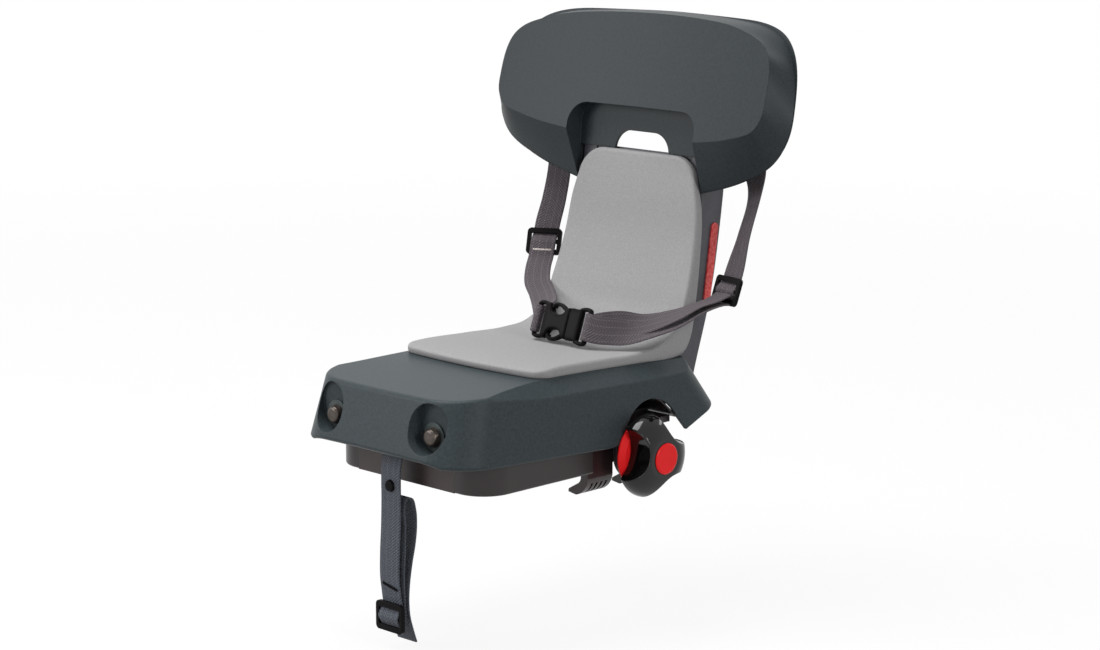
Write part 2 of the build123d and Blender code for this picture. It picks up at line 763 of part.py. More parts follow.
# Base cover: front panel and floor between the rails
with BuildPart() as base_cover:
    with Locations((0, (base_front_y + base_rear_y) / 2, plate_z / 2)):
        Box(2 * seam_half_width, base_rear_y - base_front_y, plate_z)
    with Locations((0, (base_front_y + base_rear_y) / 2 + base_wall, plate_z / 2 + base_wall)):
        Box(2 * seam_half_width, base_rear_y - base_front_y, plate_z, mode=Mode.SUBTRACT)
    with BuildSketch(Plane.XY.offset(base_wall)):
        with Locations(*cover_screw_points):
            Circle(rail_boss_r)
    extrude(amount=plate_z - base_wall)
    with BuildSketch():
        with Locations(*cover_screw_points):
            Circle(base_screw_r)
    extrude(amount=plate_z, mode=Mode.SUBTRACT)
    with BuildSketch():
        with Locations(*cover_screw_points):
            Circle(base_head_r)
    extrude(amount=base_head_t, mode=Mode.SUBTRACT)
base_cover.part.label = "base_cover"
export_step(base_cover.part, "parts/base_cover.step")

# Base screws: heads sunk in the underside, shanks up into the plate
with BuildPart() as base_screws:
    with BuildSketch():
        with Locations(*base_screw_points):
            Circle(base_head_r - 0.2)
    extrude(amount=base_head_t)
    with BuildSketch():
        with Locations(*base_screw_points):
            Circle(base_screw_r)
    extrude(amount=plate_top_z)
    with BuildSketch():
        with Locations(*base_screw_points):
            Rectangle(4, 0.9)
            Rectangle(0.9, 4)
    extrude(amount=1.2, mode=Mode.SUBTRACT)
base_screws.part.label = "base_screws"
export_step(base_screws.part, "parts/base_screws.step")

# Clamp housing: guides for the jaws, middle bearing and the knob bearing
bearing_half = 10.0
bore_clearance = 0.25
knob_bearing_r = 24.0
with BuildPart() as clamp_housing:
    with Locations((0, 0, (guide_top_z + plate_z) / 2)):
        Box(2 * bracket_x, 2 * housing_half_y, plate_z - guide_top_z)
    for side in (1, -1):
        with Locations((0, side * (housing_half_y - housing_wall / 2), guide_top_z / 2)):
            Box(2 * (jaw_outer_x - 1), housing_wall, guide_top_z)
    with Locations((0, 0, floor_t / 2)):
        Box(84, 2 * housing_half_y, floor_t)
    with Locations((0, 0, guide_top_z / 2)):
        Box(2 * bearing_half, 40, guide_top_z)
    with BuildSketch(Plane.YZ.offset(bracket_x)):
        with Locations((0, spindle_z)):
            Circle(knob_bearing_r)
        with Locations((0, (spindle_z + plate_z) / 2)):
            Rectangle(2 * knob_bearing_r, plate_z - spindle_z)
    extrude(amount=bracket_t)
    with BuildSketch(Plane.YZ.offset(-bearing_half)):
        with Locations((0, spindle_z)):
            Circle(spindle_r + bore_clearance)
    extrude(amount=bracket_x + bracket_t + bearing_half + 10, mode=Mode.SUBTRACT)
    with BuildSketch(Plane.XY.offset(plate_z)):
        with Locations(*boss_points[2:]):
            Circle(shell_screw_head_r + 0.5)
    extrude(amount=-(shell_screw_head_t + 0.4), mode=Mode.SUBTRACT)
    with BuildSketch(Plane.XY.offset(guide_top_z)):
        with Locations(*housing_screw_points):
            Circle(base_screw_r)
    extrude(amount=plate_z - guide_top_z, mode=Mode.SUBTRACT)
    with BuildSketch(Plane.XY.offset(guide_top_z)):
        with Locations(*housing_screw_points):
            Circle(base_head_r)
    extrude(amount=base_head_t, mode=Mode.SUBTRACT)
clamp_housing.part.label = "clamp_housing"
export_step(clamp_housing.part, "parts/clamp_housing.step")

with BuildPart() as housing_screws:
    with BuildSketch(Plane.XY.offset(guide_top_z)):
        with Locations(*housing_screw_points):
            Circle(base_head_r - 0.2)
    extrude(amount=base_head_t)
    with BuildSketch(Plane.XY.offset(guide_top_z)):
        with Locations(*housing_screw_points):
            Circle(base_screw_r)
    extrude(amount=plate_top_z - guide_top_z)
housing_screws.part.label = "housing_screws"
export_step(housing_screws.part, "parts/housing_screws.step")

# Jaws: carriage in the housing, two hooked claws with a round seat for the carrier tube
jaw_half_y = housing_half_y - housing_wall - slide_clearance
jaw_low_z = floor_t + slide_clearance
jaw_high_z = guide_top_z - slide_clearance
tube_x = jaw_outer_x - leg_t - tube_r
tube_z = -tube_r
claw_starts = [-jaw_half_y, -jaw_half_y + claw_pitch]
nut_x = 50.0
nut_t = 12.0
nut_y = 20.0
nut_low_z = 4.0
nut_high_z = 20.0
seat_high = (tube_x + tube_r * cos(radians(50)), tube_z + tube_r * sin(radians(50)))
seat_low = (tube_x + tube_r * cos(radians(60)), tube_z - tube_r * sin(radians(60)))
with BuildPart() as jaw_right:
    with Locations(((jaw_inner_x + jaw_outer_x) / 2, 0, (jaw_low_z + jaw_high_z) / 2)):
        Box(jaw_outer_x - jaw_inner_x, 2 * jaw_half_y, jaw_high_z - jaw_low_z)
    for start in claw_starts:
        with BuildSketch(Plane.XZ.offset(-start)):
            with BuildLine():
                Line((jaw_outer_x, jaw_low_z + 2), (jaw_outer_x, -8))
                ThreePointArc((jaw_outer_x, -8), (jaw_outer_x - 4.6, -18), (tube_x + 1, -24))
                Line((tube_x + 1, -24), (tube_x - 8.5, -22.6))
                Line((tube_x - 8.5, -22.6), (tube_x - 8, -19.7))
                Line((tube_x - 8, -19.7), seat_low)
                ThreePointArc(seat_low, (tube_x + tube_r, tube_z), seat_high)
                Line(seat_high, (seat_high[0], jaw_low_z + 2))
                Line((seat_high[0], jaw_low_z + 2), (jaw_outer_x, jaw_low_z + 2))
            make_face()
        extrude(amount=-claw_length)
        for step in range(4):
            with BuildSketch(Plane.XZ.offset(-(start + 6 + 6 * step))):
                with BuildLine():
                    Polyline(
                        (jaw_outer_x + 4, -12.5), (jaw_outer_x - 3.4, -12.5), (jaw_outer_x - 8.5, -19.5),
                        (tube_x + 3, -21.6), (tube_x + 3, -30), (jaw_outer_x + 4, -30), close=True,
                    )
                make_face()
            extrude(amount=-2.6, mode=Mode.SUBTRACT)
    for side in (1, -1):
        with Locations((57, side * 28, 18.5)):
            Box(42, 26, 25, mode=Mode.SUBTRACT)
    with Locations((nut_x + nut_t / 2, 0, (nut_low_z + jaw_high_z) / 2 + 1)):
        Box(nut_t, nut_y, jaw_high_z - nut_low_z + 2, mode=Mode.SUBTRACT)
    with BuildSketch(Plane.YZ.offset(jaw_inner_x)):
        with Locations((0, spindle_z)):
            Circle(spindle_r + 0.6)
    extrude(amount=80, mode=Mode.SUBTRACT)
jaw_right.part.label = "jaw_right"
export_step(jaw_right.part, "parts/jaw_right.step")

with BuildPart() as jaw_left:
    mirror(jaw_right.part, about=Plane.YZ)
jaw_left.part.label = "jaw_left"
export_step(jaw_left.part, "parts/jaw_left.step")

with BuildPart() as jaw_nut_right:
    with Locations((nut_x + nut_t / 2, 0, (nut_low_z + nut_high_z) / 2)):
        Box(nut_t, nut_y, nut_high_z - nut_low_z)
    with BuildSketch(Plane.YZ.offset(nut_x)):
        with Locations((0, spindle_z)):
            Circle(spindle_r + 0.15)
    extrude(amount=nut_t, mode=Mode.SUBTRACT)
jaw_nut_right.part.label = "jaw_nut_right"
export_step(jaw_nut_right.part, "parts/jaw_nut_right.step")

with BuildPart() as jaw_nut_left:
    mirror(jaw_nut_right.part, about=Plane.YZ)
jaw_nut_left.part.label = "jaw_nut_left"
export_step(jaw_nut_left.part, "parts/jaw_nut_left.step")

# Spindle with its retaining rings at the middle bearing
spindle_left_x = -92.0
spindle_right_x = 124.0
knob_screw_r = 2.5
with BuildPart() as spindle:
    with BuildSketch(Plane.YZ.offset(spindle_left_x)):
        with Locations((0, spindle_z)):
            Circle(spindle_r)
    extrude(amount=spindle_right_x - spindle_left_x)
    with BuildSketch(Plane.YZ.offset(spindle_right_x)):
        with Locations((0, spindle_z)):
            Circle(knob_screw_r)
    extrude(amount=-14, mode=Mode.SUBTRACT)
spindle.part.label = "spindle"
export_step(spindle.part, "parts/spindle.step")

with BuildPart() as spindle_clips:
    for start in (bearing_half + slide_clearance, -bearing_half - slide_clearance - 2):
        with BuildSketch(Plane.YZ.offset(start)):
            with Locations((0, spindle_z)):
                Circle(9.5)
                Circle(spindle_r, mode=Mode.SUBTRACT)
        extrude(amount=2)
spindle_clips.part.label = "spindle_clips"
export_step(spindle_clips.part, "parts/spindle_clips.step")

# Knob: ratchet flange, three-lobed body, screw and cap
knob_axis = Axis((0, 0, spindle_z), (1, 0, 0))
knob_section = Plane(origin=(0, 0, spindle_z), x_dir=(1, 0, 0), z_dir=(0, -1, 0))
tooth_count = 22
with BuildPart() as knob_ratchet:
    with BuildSketch(knob_section):
        with BuildLine():
            Polyline(
                (103, spindle_r), (103, 19), (105.5, 19), (105.5, 22.6), (108.4, 22.6),
                (108.4, 29.5), (109.5, 31.5), (111, 31.5),
                (knob_rear_x, 25), (knob_rear_x, spindle_r), close=True,
            )
        make_face()
    revolve(axis=knob_axis)
    with BuildSketch(Plane.YZ.offset(103.2)):
        with Locations((0, spindle_z)):
            with PolarLocations(20.2, tooth_count):
                Rectangle(5, 3)
    extrude(amount=2.5)
knob_ratchet.part.label = "knob_ratchet"
export_step(knob_ratchet.part, "parts/knob_ratchet.step")

scoop_r = 30.0
scoop_distance = 50.0
lobe_turn = -20.0
lobe_edge_r = 1.5
screw_seat_x = 127.0
cap_seat_x = 138.0
with BuildPart() as knob_body:
    with BuildSketch(knob_section):
        with BuildLine():
            Line((knob_rear_x, 0), (knob_rear_x, knob_r - 4))
            ThreePointArc(
                (knob_rear_x, knob_r - 4), (knob_rear_x + 1.6, knob_r - 0.9), (knob_rear_x + 5, knob_r)
            )
            Spline(
                (knob_rear_x + 5, knob_r), (knob_face_x - 11, knob_r - 2.5), (knob_face_x - 4, knob_r - 9),
                (knob_face_x, cap_r + 4.5),
            )
            Line((knob_face_x, cap_r + 4.5), (knob_face_x, 0))
            Line((knob_face_x, 0), (knob_rear_x, 0))
        make_face()
    revolve(axis=knob_axis)
    for turn in (60, 180, 300):
        angle = radians(lobe_turn + turn)
        with BuildSketch(Plane.YZ.offset(knob_rear_x - 2)):
            with Locations((scoop_distance * sin(angle), spindle_z + scoop_distance * cos(angle))):
                Circle(scoop_r)
        extrude(amount=40, mode=Mode.SUBTRACT)
    fillet(knob_body.edges().filter_by(GeomType.BSPLINE), lobe_edge_r)
    with BuildSketch(Plane.YZ.offset(knob_rear_x)):
        with Locations((0, spindle_z)):
            Circle(spindle_r)
    extrude(amount=spindle_right_x - knob_rear_x, mode=Mode.SUBTRACT)
    with BuildSketch(Plane.YZ.offset(spindle_right_x)):
        with Locations((0, spindle_z)):
            Circle(knob_screw_r)
    extrude(amount=20, mode=Mode.SUBTRACT)
    with BuildSketch(Plane.YZ.offset(screw_seat_x)):
        with Locations((0, spindle_z)):
            Circle(8)
    extrude(amount=20, mode=Mode.SUBTRACT)
    with BuildSketch(Plane.YZ.offset(cap_seat_x)):
        with Locations((0, spindle_z)):
            Circle(cap_r)
    extrude(amount=20, mode=Mode.SUBTRACT)
knob_body.part.label = "knob_body"
export_step(knob_body.part, "parts/knob_body.step")

with BuildPart() as knob_screw:
    with BuildSketch(Plane.YZ.offset(spindle_right_x - 14)):
        with Locations((0, spindle_z)):
            Circle(knob_screw_r)
    extrude(amount=screw_seat_x - spindle_right_x + 14)
    with BuildSketch(Plane.YZ.offset(screw_seat_x)):
        with Locations((0, spindle_z)):
            Circle(4.8)
            RegularPolygon(2.0, 6, mode=Mode.SUBTRACT)
    extrude(amount=3.5)
knob_screw.part.label = "knob_screw"
export_step(knob_screw.part, "parts/knob_screw.step")

with BuildPart() as knob_cap:
    with BuildSketch(knob_section):
        with BuildLine():
            Polyline(
                (cap_seat_x, 0), (cap_seat_x, cap_r), (knob_front_x - 0.8, cap_r),
                (knob_front_x, cap_r - 1.4), (knob_front_x, 0), close=True,
            )
        make_face()
    revolve(axis=knob_axis)
    with BuildSketch(Plane.YZ.offset(cap_seat_x)):
        with Locations((0, spindle_z)):
            Circle(8)
            Circle(6.5, mode=Mode.SUBTRACT)
    extrude(amount=-5)
knob_cap.part.label = "knob_cap"
export_step(knob_cap.part, "parts/knob_cap.step")


def strip(stations, width, thickness):
    """Band of webbing lofted through stations, each a centre point and the direction of its width."""
    centres = [Vector(*centre) for centre, across in stations]
    sections = []
    for index, (centre, across) in enumerate(stations):
        before = centres[max(index - 1, 0)]
        after = centres[min(index + 1, len(centres) - 1)]
        along = (after - before).normalized()
        flat = Vector(*across) - along * along.dot(Vector(*across))
        with BuildSketch(Plane(origin=centres[index], x_dir=flat.normalized(), z_dir=along)) as section:
            Rectangle(width, thickness)
        sections.append(section.sketch)
    return loft(sections, ruled=True, mode=Mode.PRIVATE)


# Buckle: the two halves lie along X in a plane that leans back a little
buckle_lean = 20.0
buckle_plane = Plane(
    origin=(12, -2, 117), x_dir=(1, 0, 0), z_dir=(0, -cos(radians(buckle_lean)), sin(radians(buckle_lean)))
)
buckle_half_h = 17.0
buckle_t = 9.0
bar_w = 4.0
bar_t = 4.0
slot_w = 7.0
buckle_end_x = 34.0
with BuildPart() as buckle_female:
    with BuildSketch(buckle_plane.offset(-buckle_t / 2)):
        with Locations((-13, 0)):
            RectangleRounded(42, 2 * buckle_half_h, 4)
    extrude(amount=buckle_t)
    with BuildSketch(buckle_plane.offset(-buckle_t)):
        with Locations((-buckle_end_x + bar_w + slot_w / 2, 0)):
            Rectangle(slot_w, webbing_w + 2)
    extrude(amount=2 * buckle_t, mode=Mode.SUBTRACT)
    with BuildSketch(buckle_plane.offset(-buckle_t)):
        with Locations((-buckle_end_x + bar_w / 2, 0)):
            Rectangle(bar_w + 0.02, webbing_w + 2)
    extrude(amount=buckle_t - bar_t / 2, mode=Mode.SUBTRACT)
    with BuildSketch(buckle_plane.offset(bar_t / 2)):
        with Locations((-buckle_end_x + bar_w / 2, 0)):
            Rectangle(bar_w + 0.02, webbing_w + 2)
    extrude(amount=buckle_t, mode=Mode.SUBTRACT)
    with BuildSketch(buckle_plane.offset(-2.6)):
        with Locations((-4, 0)):
            Rectangle(28, 28)
    extrude(amount=5.2, mode=Mode.SUBTRACT)
    with BuildSketch(buckle_plane.offset(-2.6)):
        with Locations((-5, 0)):
            Rectangle(14, 60)
    extrude(amount=5.2, mode=Mode.SUBTRACT)
    with BuildSketch(buckle_plane.offset(-buckle_t)) as grip:
        with Locations((2, 0)):
            Ellipse(9, 7.5)
    extrude(amount=2 * buckle_t, mode=Mode.SUBTRACT)
buckle_female.part.label = "buckle_female"
export_step(buckle_female.part, "parts/buckle_female.step")

with BuildPart() as buckle_male:
    with BuildSketch(buckle_plane.offset(-3.5)):
        with Locations((21.3, 0)):
            RectangleRounded(2 * (buckle_end_x - 21.3), 2 * buckle_half_h - 2, 4)
    extrude(amount=7)
    with BuildSketch(buckle_plane.offset(-buckle_t)):
        with Locations((buckle_end_x - bar_w - slot_w / 2, 0)):
            Rectangle(slot_w, webbing_w + 2)
    extrude(amount=2 * buckle_t, mode=Mode.SUBTRACT)
    with BuildSketch(buckle_plane.offset(-buckle_t)):
        with Locations((buckle_end_x - bar_w / 2, 0)):
            Rectangle(bar_w + 0.02, webbing_w + 2)
    extrude(amount=buckle_t - bar_t / 2, mode=Mode.SUBTRACT)
    with BuildSketch(buckle_plane.offset(bar_t / 2)):
        with Locations((buckle_end_x - bar_w / 2, 0)):
            Rectangle(bar_w + 0.02, webbing_w + 2)
    extrude(amount=buckle_t, mode=Mode.SUBTRACT)
    with BuildSketch(buckle_plane.offset(-2.2)):
        for side in (1, -1):
            with BuildLine():
                Polyline(
                    (10, 12.5 * side), (10, 8.5 * side), (-8, 10 * side), (-13, 11.5 * side),
                    (-10.5, 15.5 * side), (0, 15.5 * side), (2, 12.5 * side), close=True,
                )
            make_face()
        with Locations((-1, 0)):
            Rectangle(23, 4)
    extrude(amount=4.4)
buckle_male.part.label = "buckle_male"
export_step(buckle_male.part, "parts/buckle_male.step")

# Tri-glides: flat frames with a middle bar, threaded on the webbing
glide_w = 34.0
glide_h = 26.0
glide_t = 3.6
glide_bar = 4.0
glide_slot = 6.0


def glide_frame(plane):
    """Tri-glide on a plane whose x runs across the webbing and whose z points away from it."""
    with BuildSketch(plane.offset(-glide_t / 2)) as outline:
        RectangleRounded(glide_w, glide_h, 4)
        with Locations((0, (glide_bar + glide_slot) / 2), (0, -(glide_bar + glide_slot) / 2)):
            Rectangle(webbing_w + 1.5, glide_slot, mode=Mode.SUBTRACT)
    return extrude(outline.sketch, amount=glide_t, mode=Mode.PRIVATE)


def bar_loop(plane, half_w, half_t, height):
    """Turn of webbing round a bar, drawn in the plane square to the bar."""
    with BuildSketch(plane.offset(-height / 2)) as turn:
        Rectangle(2 * (half_w + webbing_t), 2 * (half_t + webbing_t))
        Rectangle(2 * half_w, 2 * half_t, mode=Mode.SUBTRACT)
    return extrude(turn.sketch, amount=height, mode=Mode.PRIVATE)


def straight_run(centre, along, across, reach):
    """Two stations that keep the webbing flat where a tri-glide sits on it."""
    step = Vector(*along).normalized() * reach
    low = Vector(*centre) - step
    high = Vector(*centre) + step
    return [(tuple(low), across), (tuple(high), across)]


def glide_plane(centre, along, across, sign):
    """Plane of a tri-glide that rests on the front face of the webbing."""
    out = Vector(*across).cross(Vector(*along)).normalized() * sign
    origin = Vector(*centre) + out * ((webbing_t + glide_t) / 2)
    return Plane(origin=origin, x_dir=across, z_dir=out)


def bar_plane(plane):
    """Plane square to a tri-glide's middle bar."""
    return Plane(origin=plane.origin, x_dir=plane.y_dir, z_dir=plane.x_dir)


# Shoulder belts: from the headrest through the tri-glides to the two halves of the buckle
glide_left_at = (-118, 105, 164)
glide_left_along = (-0.15, 0.36, 0.92)
glide_left_across = (0.87, 0.49, 0)
glide_right_at = (118, 105, 146)
glide_right_along = (0.06, 0.32, 0.94)
glide_right_across = (-0.98, 0.17, 0)
glide_left_plane = glide_plane(glide_left_at, glide_left_along, glide_left_across, 1)
glide_right_plane = glide_plane(glide_right_at, glide_right_along, glide_right_across, -1)
buckle_up = tuple(buckle_plane.y_dir)
female_bar = Plane(
    origin=buckle_plane.from_local_coords((-buckle_end_x + bar_w / 2, 0, 0)), x_dir=(1, 0, 0), z_dir=buckle_up
)
male_bar = Plane(
    origin=buckle_plane.from_local_coords((buckle_end_x - bar_w / 2, 0, 0)), x_dir=(1, 0, 0), z_dir=buckle_up
)
bar_gap = 0.05
with BuildPart() as tri_glide_left:
    add(glide_frame(glide_left_plane))
tri_glide_left.part.label = "tri_glide_left"
export_step(tri_glide_left.part, "parts/tri_glide_left.step")

with BuildPart() as tri_glide_right:
    add(glide_frame(glide_right_plane))
tri_glide_right.part.label = "tri_glide_right"
export_step(tri_glide_right.part, "parts/tri_glide_right.step")

with BuildPart() as belt_left:
    add(
        strip(
            [
                ((female_bar.origin.X - bar_w / 2 - 0.4, -2, 117), buckle_up),
                ((-38, 8, 117), buckle_up),
                ((-66, 42, 119), (0.22, 0.3, 0.92)),
                ((-87, 67, 124), (0.5, 0.35, 0.78)),
                ((-102, 85, 136), (0.76, 0.44, 0.4)),
            ]
            + straight_run(glide_left_at, glide_left_along, glide_left_across, 15)
            + [
                ((-122, 122, 205), (0.92, 0.38, 0)),
                ((-125, 132, 238), (0.98, 0.2, 0)),
                ((-belt_anchor_x, belt_anchor_y, 252), (1, 0, 0)),
                ((-belt_anchor_x, belt_anchor_y, 277), (1, 0, 0)),
            ],
            webbing_w,
            webbing_t,
        )
    )
    add(bar_loop(female_bar, bar_w / 2 + bar_gap, bar_t / 2 + bar_gap, webbing_w))
    add(bar_loop(bar_plane(glide_left_plane), glide_bar / 2, glide_t / 2, webbing_w))
    with BuildSketch(Plane.XZ):
        with Locations((-belt_anchor_x, belt_screw_z)):
            Circle(belt_screw_r)
    extrude(amount=-160, mode=Mode.SUBTRACT)
    for hard in (buckle_female, tri_glide_left, headrest_cover):
        add(hard.part, mode=Mode.SUBTRACT)
belt_left.part.label = "belt_left"
export_step(belt_left.part, "parts/belt_left.step")

with BuildPart() as belt_right:
    add(
        strip(
            [
                ((male_bar.origin.X + bar_w / 2 + 0.4, -2, 117), buckle_up),
                ((62, 10, 114), buckle_up),
                ((84, 38, 111), (-0.08, 0.3, 0.95)),
                ((101, 64, 118), (-0.3, 0.3, 0.9)),
                ((110, 83, 127), (-0.75, 0.3, 0.6)),
            ]
            + straight_run(glide_right_at, glide_right_along, glide_right_across, 15)
            + [
                ((122, 120, 195), (-0.98, 0.12, 0)),
                ((125, 131, 236), (-1, 0.05, 0)),
                ((belt_anchor_x, belt_anchor_y, 252), (-1, 0, 0)),
                ((belt_anchor_x, belt_anchor_y, 277), (-1, 0, 0)),
            ],
            webbing_w,
            webbing_t,
        )
    )
    add(bar_loop(male_bar, bar_w / 2 + bar_gap, bar_t / 2 + bar_gap, webbing_w))
    add(bar_loop(bar_plane(glide_right_plane), glide_bar / 2, glide_t / 2, webbing_w))
    with BuildSketch(Plane.XZ):
        with Locations((belt_anchor_x, belt_screw_z)):
            Circle(belt_screw_r)
    extrude(amount=-160, mode=Mode.SUBTRACT)
    for hard in (buckle_male, tri_glide_right, headrest_cover):
        add(hard.part, mode=Mode.SUBTRACT)
belt_right.part.label = "belt_right"
export_step(belt_right.part, "parts/belt_right.step")

# Screws that hold the belt ends in the headrest cover
with BuildPart() as belt_screws:
    with BuildSketch(Plane.XZ.offset(-(belt_anchor_y - webbing_t / 2))):
        with Locations(*belt_screw_points):
            Circle(5.0)
    extrude(amount=2.4)
    with BuildSketch(Plane.XZ.offset(-(belt_anchor_y - webbing_t / 2))):
        with Locations(*belt_screw_points):
            Circle(belt_screw_r)
    extrude(amount=-(webbing_t / 2 + 8))
belt_screws.part.label = "belt_screws"
export_step(belt_screws.part, "parts/belt_screws.step")

# Safety strap: hangs from the base plate's front flange, with rivet, tri-glide, loop and tail
strap_y = -201.0
glide_strap_z = -119.0
snap_z = -1.0
snap_r = 5.5
snap_post_r = 2.0
strap_top_y = flange_y - webbing_t / 2
loop_y = -184.5
glide_strap_plane = Plane(
    origin=(0, strap_y - (webbing_t + glide_t) / 2, glide_strap_z), x_dir=(1, 0, 0), z_dir=(0, -1, 0)
)
strap_runs = [
    [(strap_top_y, 74), (strap_top_y, 44), (strap_y, 8), (strap_y, glide_strap_z - 15)],
    [(strap_y, -8), (loop_y, -26), (loop_y, -78), (strap_y, glide_strap_z + 12)],
    [(strap_y, glide_strap_z), (-191, glide_strap_z - 8), (-183, glide_strap_z - 24)],
]
with BuildPart() as safety_strap:
    with BuildSketch(Plane.YZ):
        for run in strap_runs:
            with BuildLine():
                FilletPolyline(*run, radius=8)
                offset(amount=webbing_t / 2)
            make_face()
        with Locations((glide_strap_plane.origin.Y, glide_strap_z)):
            Rectangle(glide_t + 2 * webbing_t, glide_bar + 2 * webbing_t)
            Rectangle(glide_t, glide_bar, mode=Mode.SUBTRACT)
    extrude(amount=webbing_w / 2, both=True)
    with BuildSketch(Plane.XZ):
        with Locations((0, strap_rivet_z)):
            Circle(strap_rivet_r)
        with Locations((0, snap_z)):
            Circle(snap_post_r)
    extrude(amount=260, mode=Mode.SUBTRACT)
safety_strap.part.label = "safety_strap"
export_step(safety_strap.part, "parts/safety_strap.step")

with BuildPart() as tri_glide_strap:
    add(glide_frame(glide_strap_plane))
tri_glide_strap.part.label = "tri_glide_strap"
export_step(tri_glide_strap.part, "parts/tri_glide_strap.step")

with BuildPart() as strap_snap:
    with BuildSketch(Plane.XZ.offset(-(strap_y - webbing_t / 2))):
        with Locations((0, snap_z)):
            Circle(snap_r)
    extrude(amount=2.2, taper=20)
    with BuildSketch(Plane.XZ.offset(-(strap_y - webbing_t / 2))):
        with Locations((0, snap_z)):
            Circle(snap_post_r)
    extrude(amount=-webbing_t)
    with BuildSketch(Plane.XZ.offset(-(strap_y + webbing_t / 2))):
        with Locations((0, snap_z)):
            Circle(4.0)
    extrude(amount=-1.4)
strap_snap.part.label = "strap_snap"
export_step(strap_snap.part, "parts/strap_snap.step")

with BuildPart() as strap_rivet:
    with BuildSketch(Plane.XZ.offset(-(flange_y - webbing_t))):
        with Locations((0, strap_rivet_z)):
            Circle(6.0)
    extrude(amount=2)
    with BuildSketch(Plane.XZ.offset(-(flange_y - webbing_t))):
        with Locations((0, strap_rivet_z)):
            Circle(strap_rivet_r)
    extrude(amount=-(webbing_t + plate_t))
    with BuildSketch(Plane.XZ.offset(-(flange_y + plate_t))):
        with Locations((0, strap_rivet_z)):
            Circle(4.5)
    extrude(amount=-1.5)
strap_rivet.part.label = "strap_rivet"
export_step(strap_rivet.part, "parts/strap_rivet.step")
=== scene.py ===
import bmesh
import bpy
import numpy as np
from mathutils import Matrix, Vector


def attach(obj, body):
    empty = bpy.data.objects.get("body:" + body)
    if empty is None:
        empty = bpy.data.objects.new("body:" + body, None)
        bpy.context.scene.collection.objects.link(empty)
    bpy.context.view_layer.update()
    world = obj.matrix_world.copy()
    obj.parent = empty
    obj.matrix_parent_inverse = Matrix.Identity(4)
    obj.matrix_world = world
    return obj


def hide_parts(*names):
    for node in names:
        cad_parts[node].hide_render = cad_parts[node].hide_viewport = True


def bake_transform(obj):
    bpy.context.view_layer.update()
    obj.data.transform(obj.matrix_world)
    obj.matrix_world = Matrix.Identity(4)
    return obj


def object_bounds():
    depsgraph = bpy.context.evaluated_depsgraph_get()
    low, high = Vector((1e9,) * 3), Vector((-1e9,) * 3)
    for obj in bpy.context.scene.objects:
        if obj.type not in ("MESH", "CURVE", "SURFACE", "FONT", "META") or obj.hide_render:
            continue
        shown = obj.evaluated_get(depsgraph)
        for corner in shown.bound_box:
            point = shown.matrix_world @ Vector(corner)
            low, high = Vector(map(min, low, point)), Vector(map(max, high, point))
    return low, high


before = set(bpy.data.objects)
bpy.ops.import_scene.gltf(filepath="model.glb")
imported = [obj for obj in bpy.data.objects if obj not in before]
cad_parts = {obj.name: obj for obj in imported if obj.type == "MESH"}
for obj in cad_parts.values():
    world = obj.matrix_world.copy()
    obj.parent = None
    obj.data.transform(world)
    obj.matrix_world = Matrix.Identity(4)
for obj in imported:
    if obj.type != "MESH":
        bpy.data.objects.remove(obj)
cad_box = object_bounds()


# Base plate and fasteners: a pressed steel sub-frame under the shell, powder coated black with a fine orange
# peel. Its screws and nuts are zinc plated, bright in cloudy patches; the front bolts are blackened to a warm
# dark gloss, and their washers phosphated to a cooler grey.
def linear(code):
    """Linear RGBA of an sRGB hex colour: each channel through the sRGB decoding curve."""
    srgb = np.array([int(code[i:i + 2], 16) for i in (1, 3, 5)]) / 255
    rgb = np.where(srgb <= 0.04045, srgb / 12.92, ((srgb + 0.055) / 1.055) ** 2.4)
    return (*rgb.tolist(), 1.0)


def put(tree, kind, sockets=(), **settings):
    """Add a node: settings are its own properties, and each named socket takes a value or a link."""
    made = tree.nodes.new(kind)
    for name, value in settings.items():
        setattr(made, name, value)
    for name, value in dict(sockets).items():
        if isinstance(value, bpy.types.NodeSocket):
            tree.links.new(value, made.inputs[name])
        else:
            made.inputs[name].default_value = value
    return made


def new_finish(name, sockets):
    """Material with one Principled shader whose constant values sit on its own sockets."""
    finish = bpy.data.materials.new(name)
    finish.use_nodes = True
    tree = finish.node_tree
    shader = tree.nodes["Principled BSDF"]
    for socket, value in sockets.items():
        shader.inputs[socket].default_value = value
    return finish, tree, shader


def mottled(tree, shader, coords, tones, rough, patch_mm):
    """Colour that drifts between two tones, and roughness between two values, in patches of that size.
    Most of the noise lies between low and high."""
    low, high = 0.3, 0.7
    patch = put(tree, "ShaderNodeTexNoise", {"Vector": coords, "Scale": 1000 / patch_mm, "Detail": 3.0})
    tone = put(tree, "ShaderNodeValToRGB", {"Fac": patch.outputs["Fac"]})
    for stop, place, code in zip(tone.color_ramp.elements, (low, high), tones):
        stop.position = place
        stop.color = linear(code)
    tree.links.new(tone.outputs["Color"], shader.inputs["Base Color"])
    gloss = put(tree, "ShaderNodeMapRange", {
        "Value": patch.outputs["Fac"], "From Min": low, "From Max": high,
        "To Min": rough[0], "To Max": rough[1],
    })
    tree.links.new(gloss.outputs["Result"], shader.inputs["Roughness"])


def grained(tree, shader, coords, grain_mm, depth_mm, edge_mm):
    """Fine bumps of that size and depth over edges that are rounded by a small radius."""
    rounded = put(tree, "ShaderNodeBevel", {"Radius": edge_mm / 1000}, samples=6)
    grain = put(tree, "ShaderNodeTexNoise", {"Vector": coords, "Scale": 1000 / grain_mm, "Detail": 2.0})
    bump = put(tree, "ShaderNodeBump", {
        "Height": grain.outputs["Fac"], "Distance": depth_mm / 1000, "Normal": rounded.outputs["Normal"],
    })
    tree.links.new(bump.outputs["Normal"], shader.inputs["Normal"])


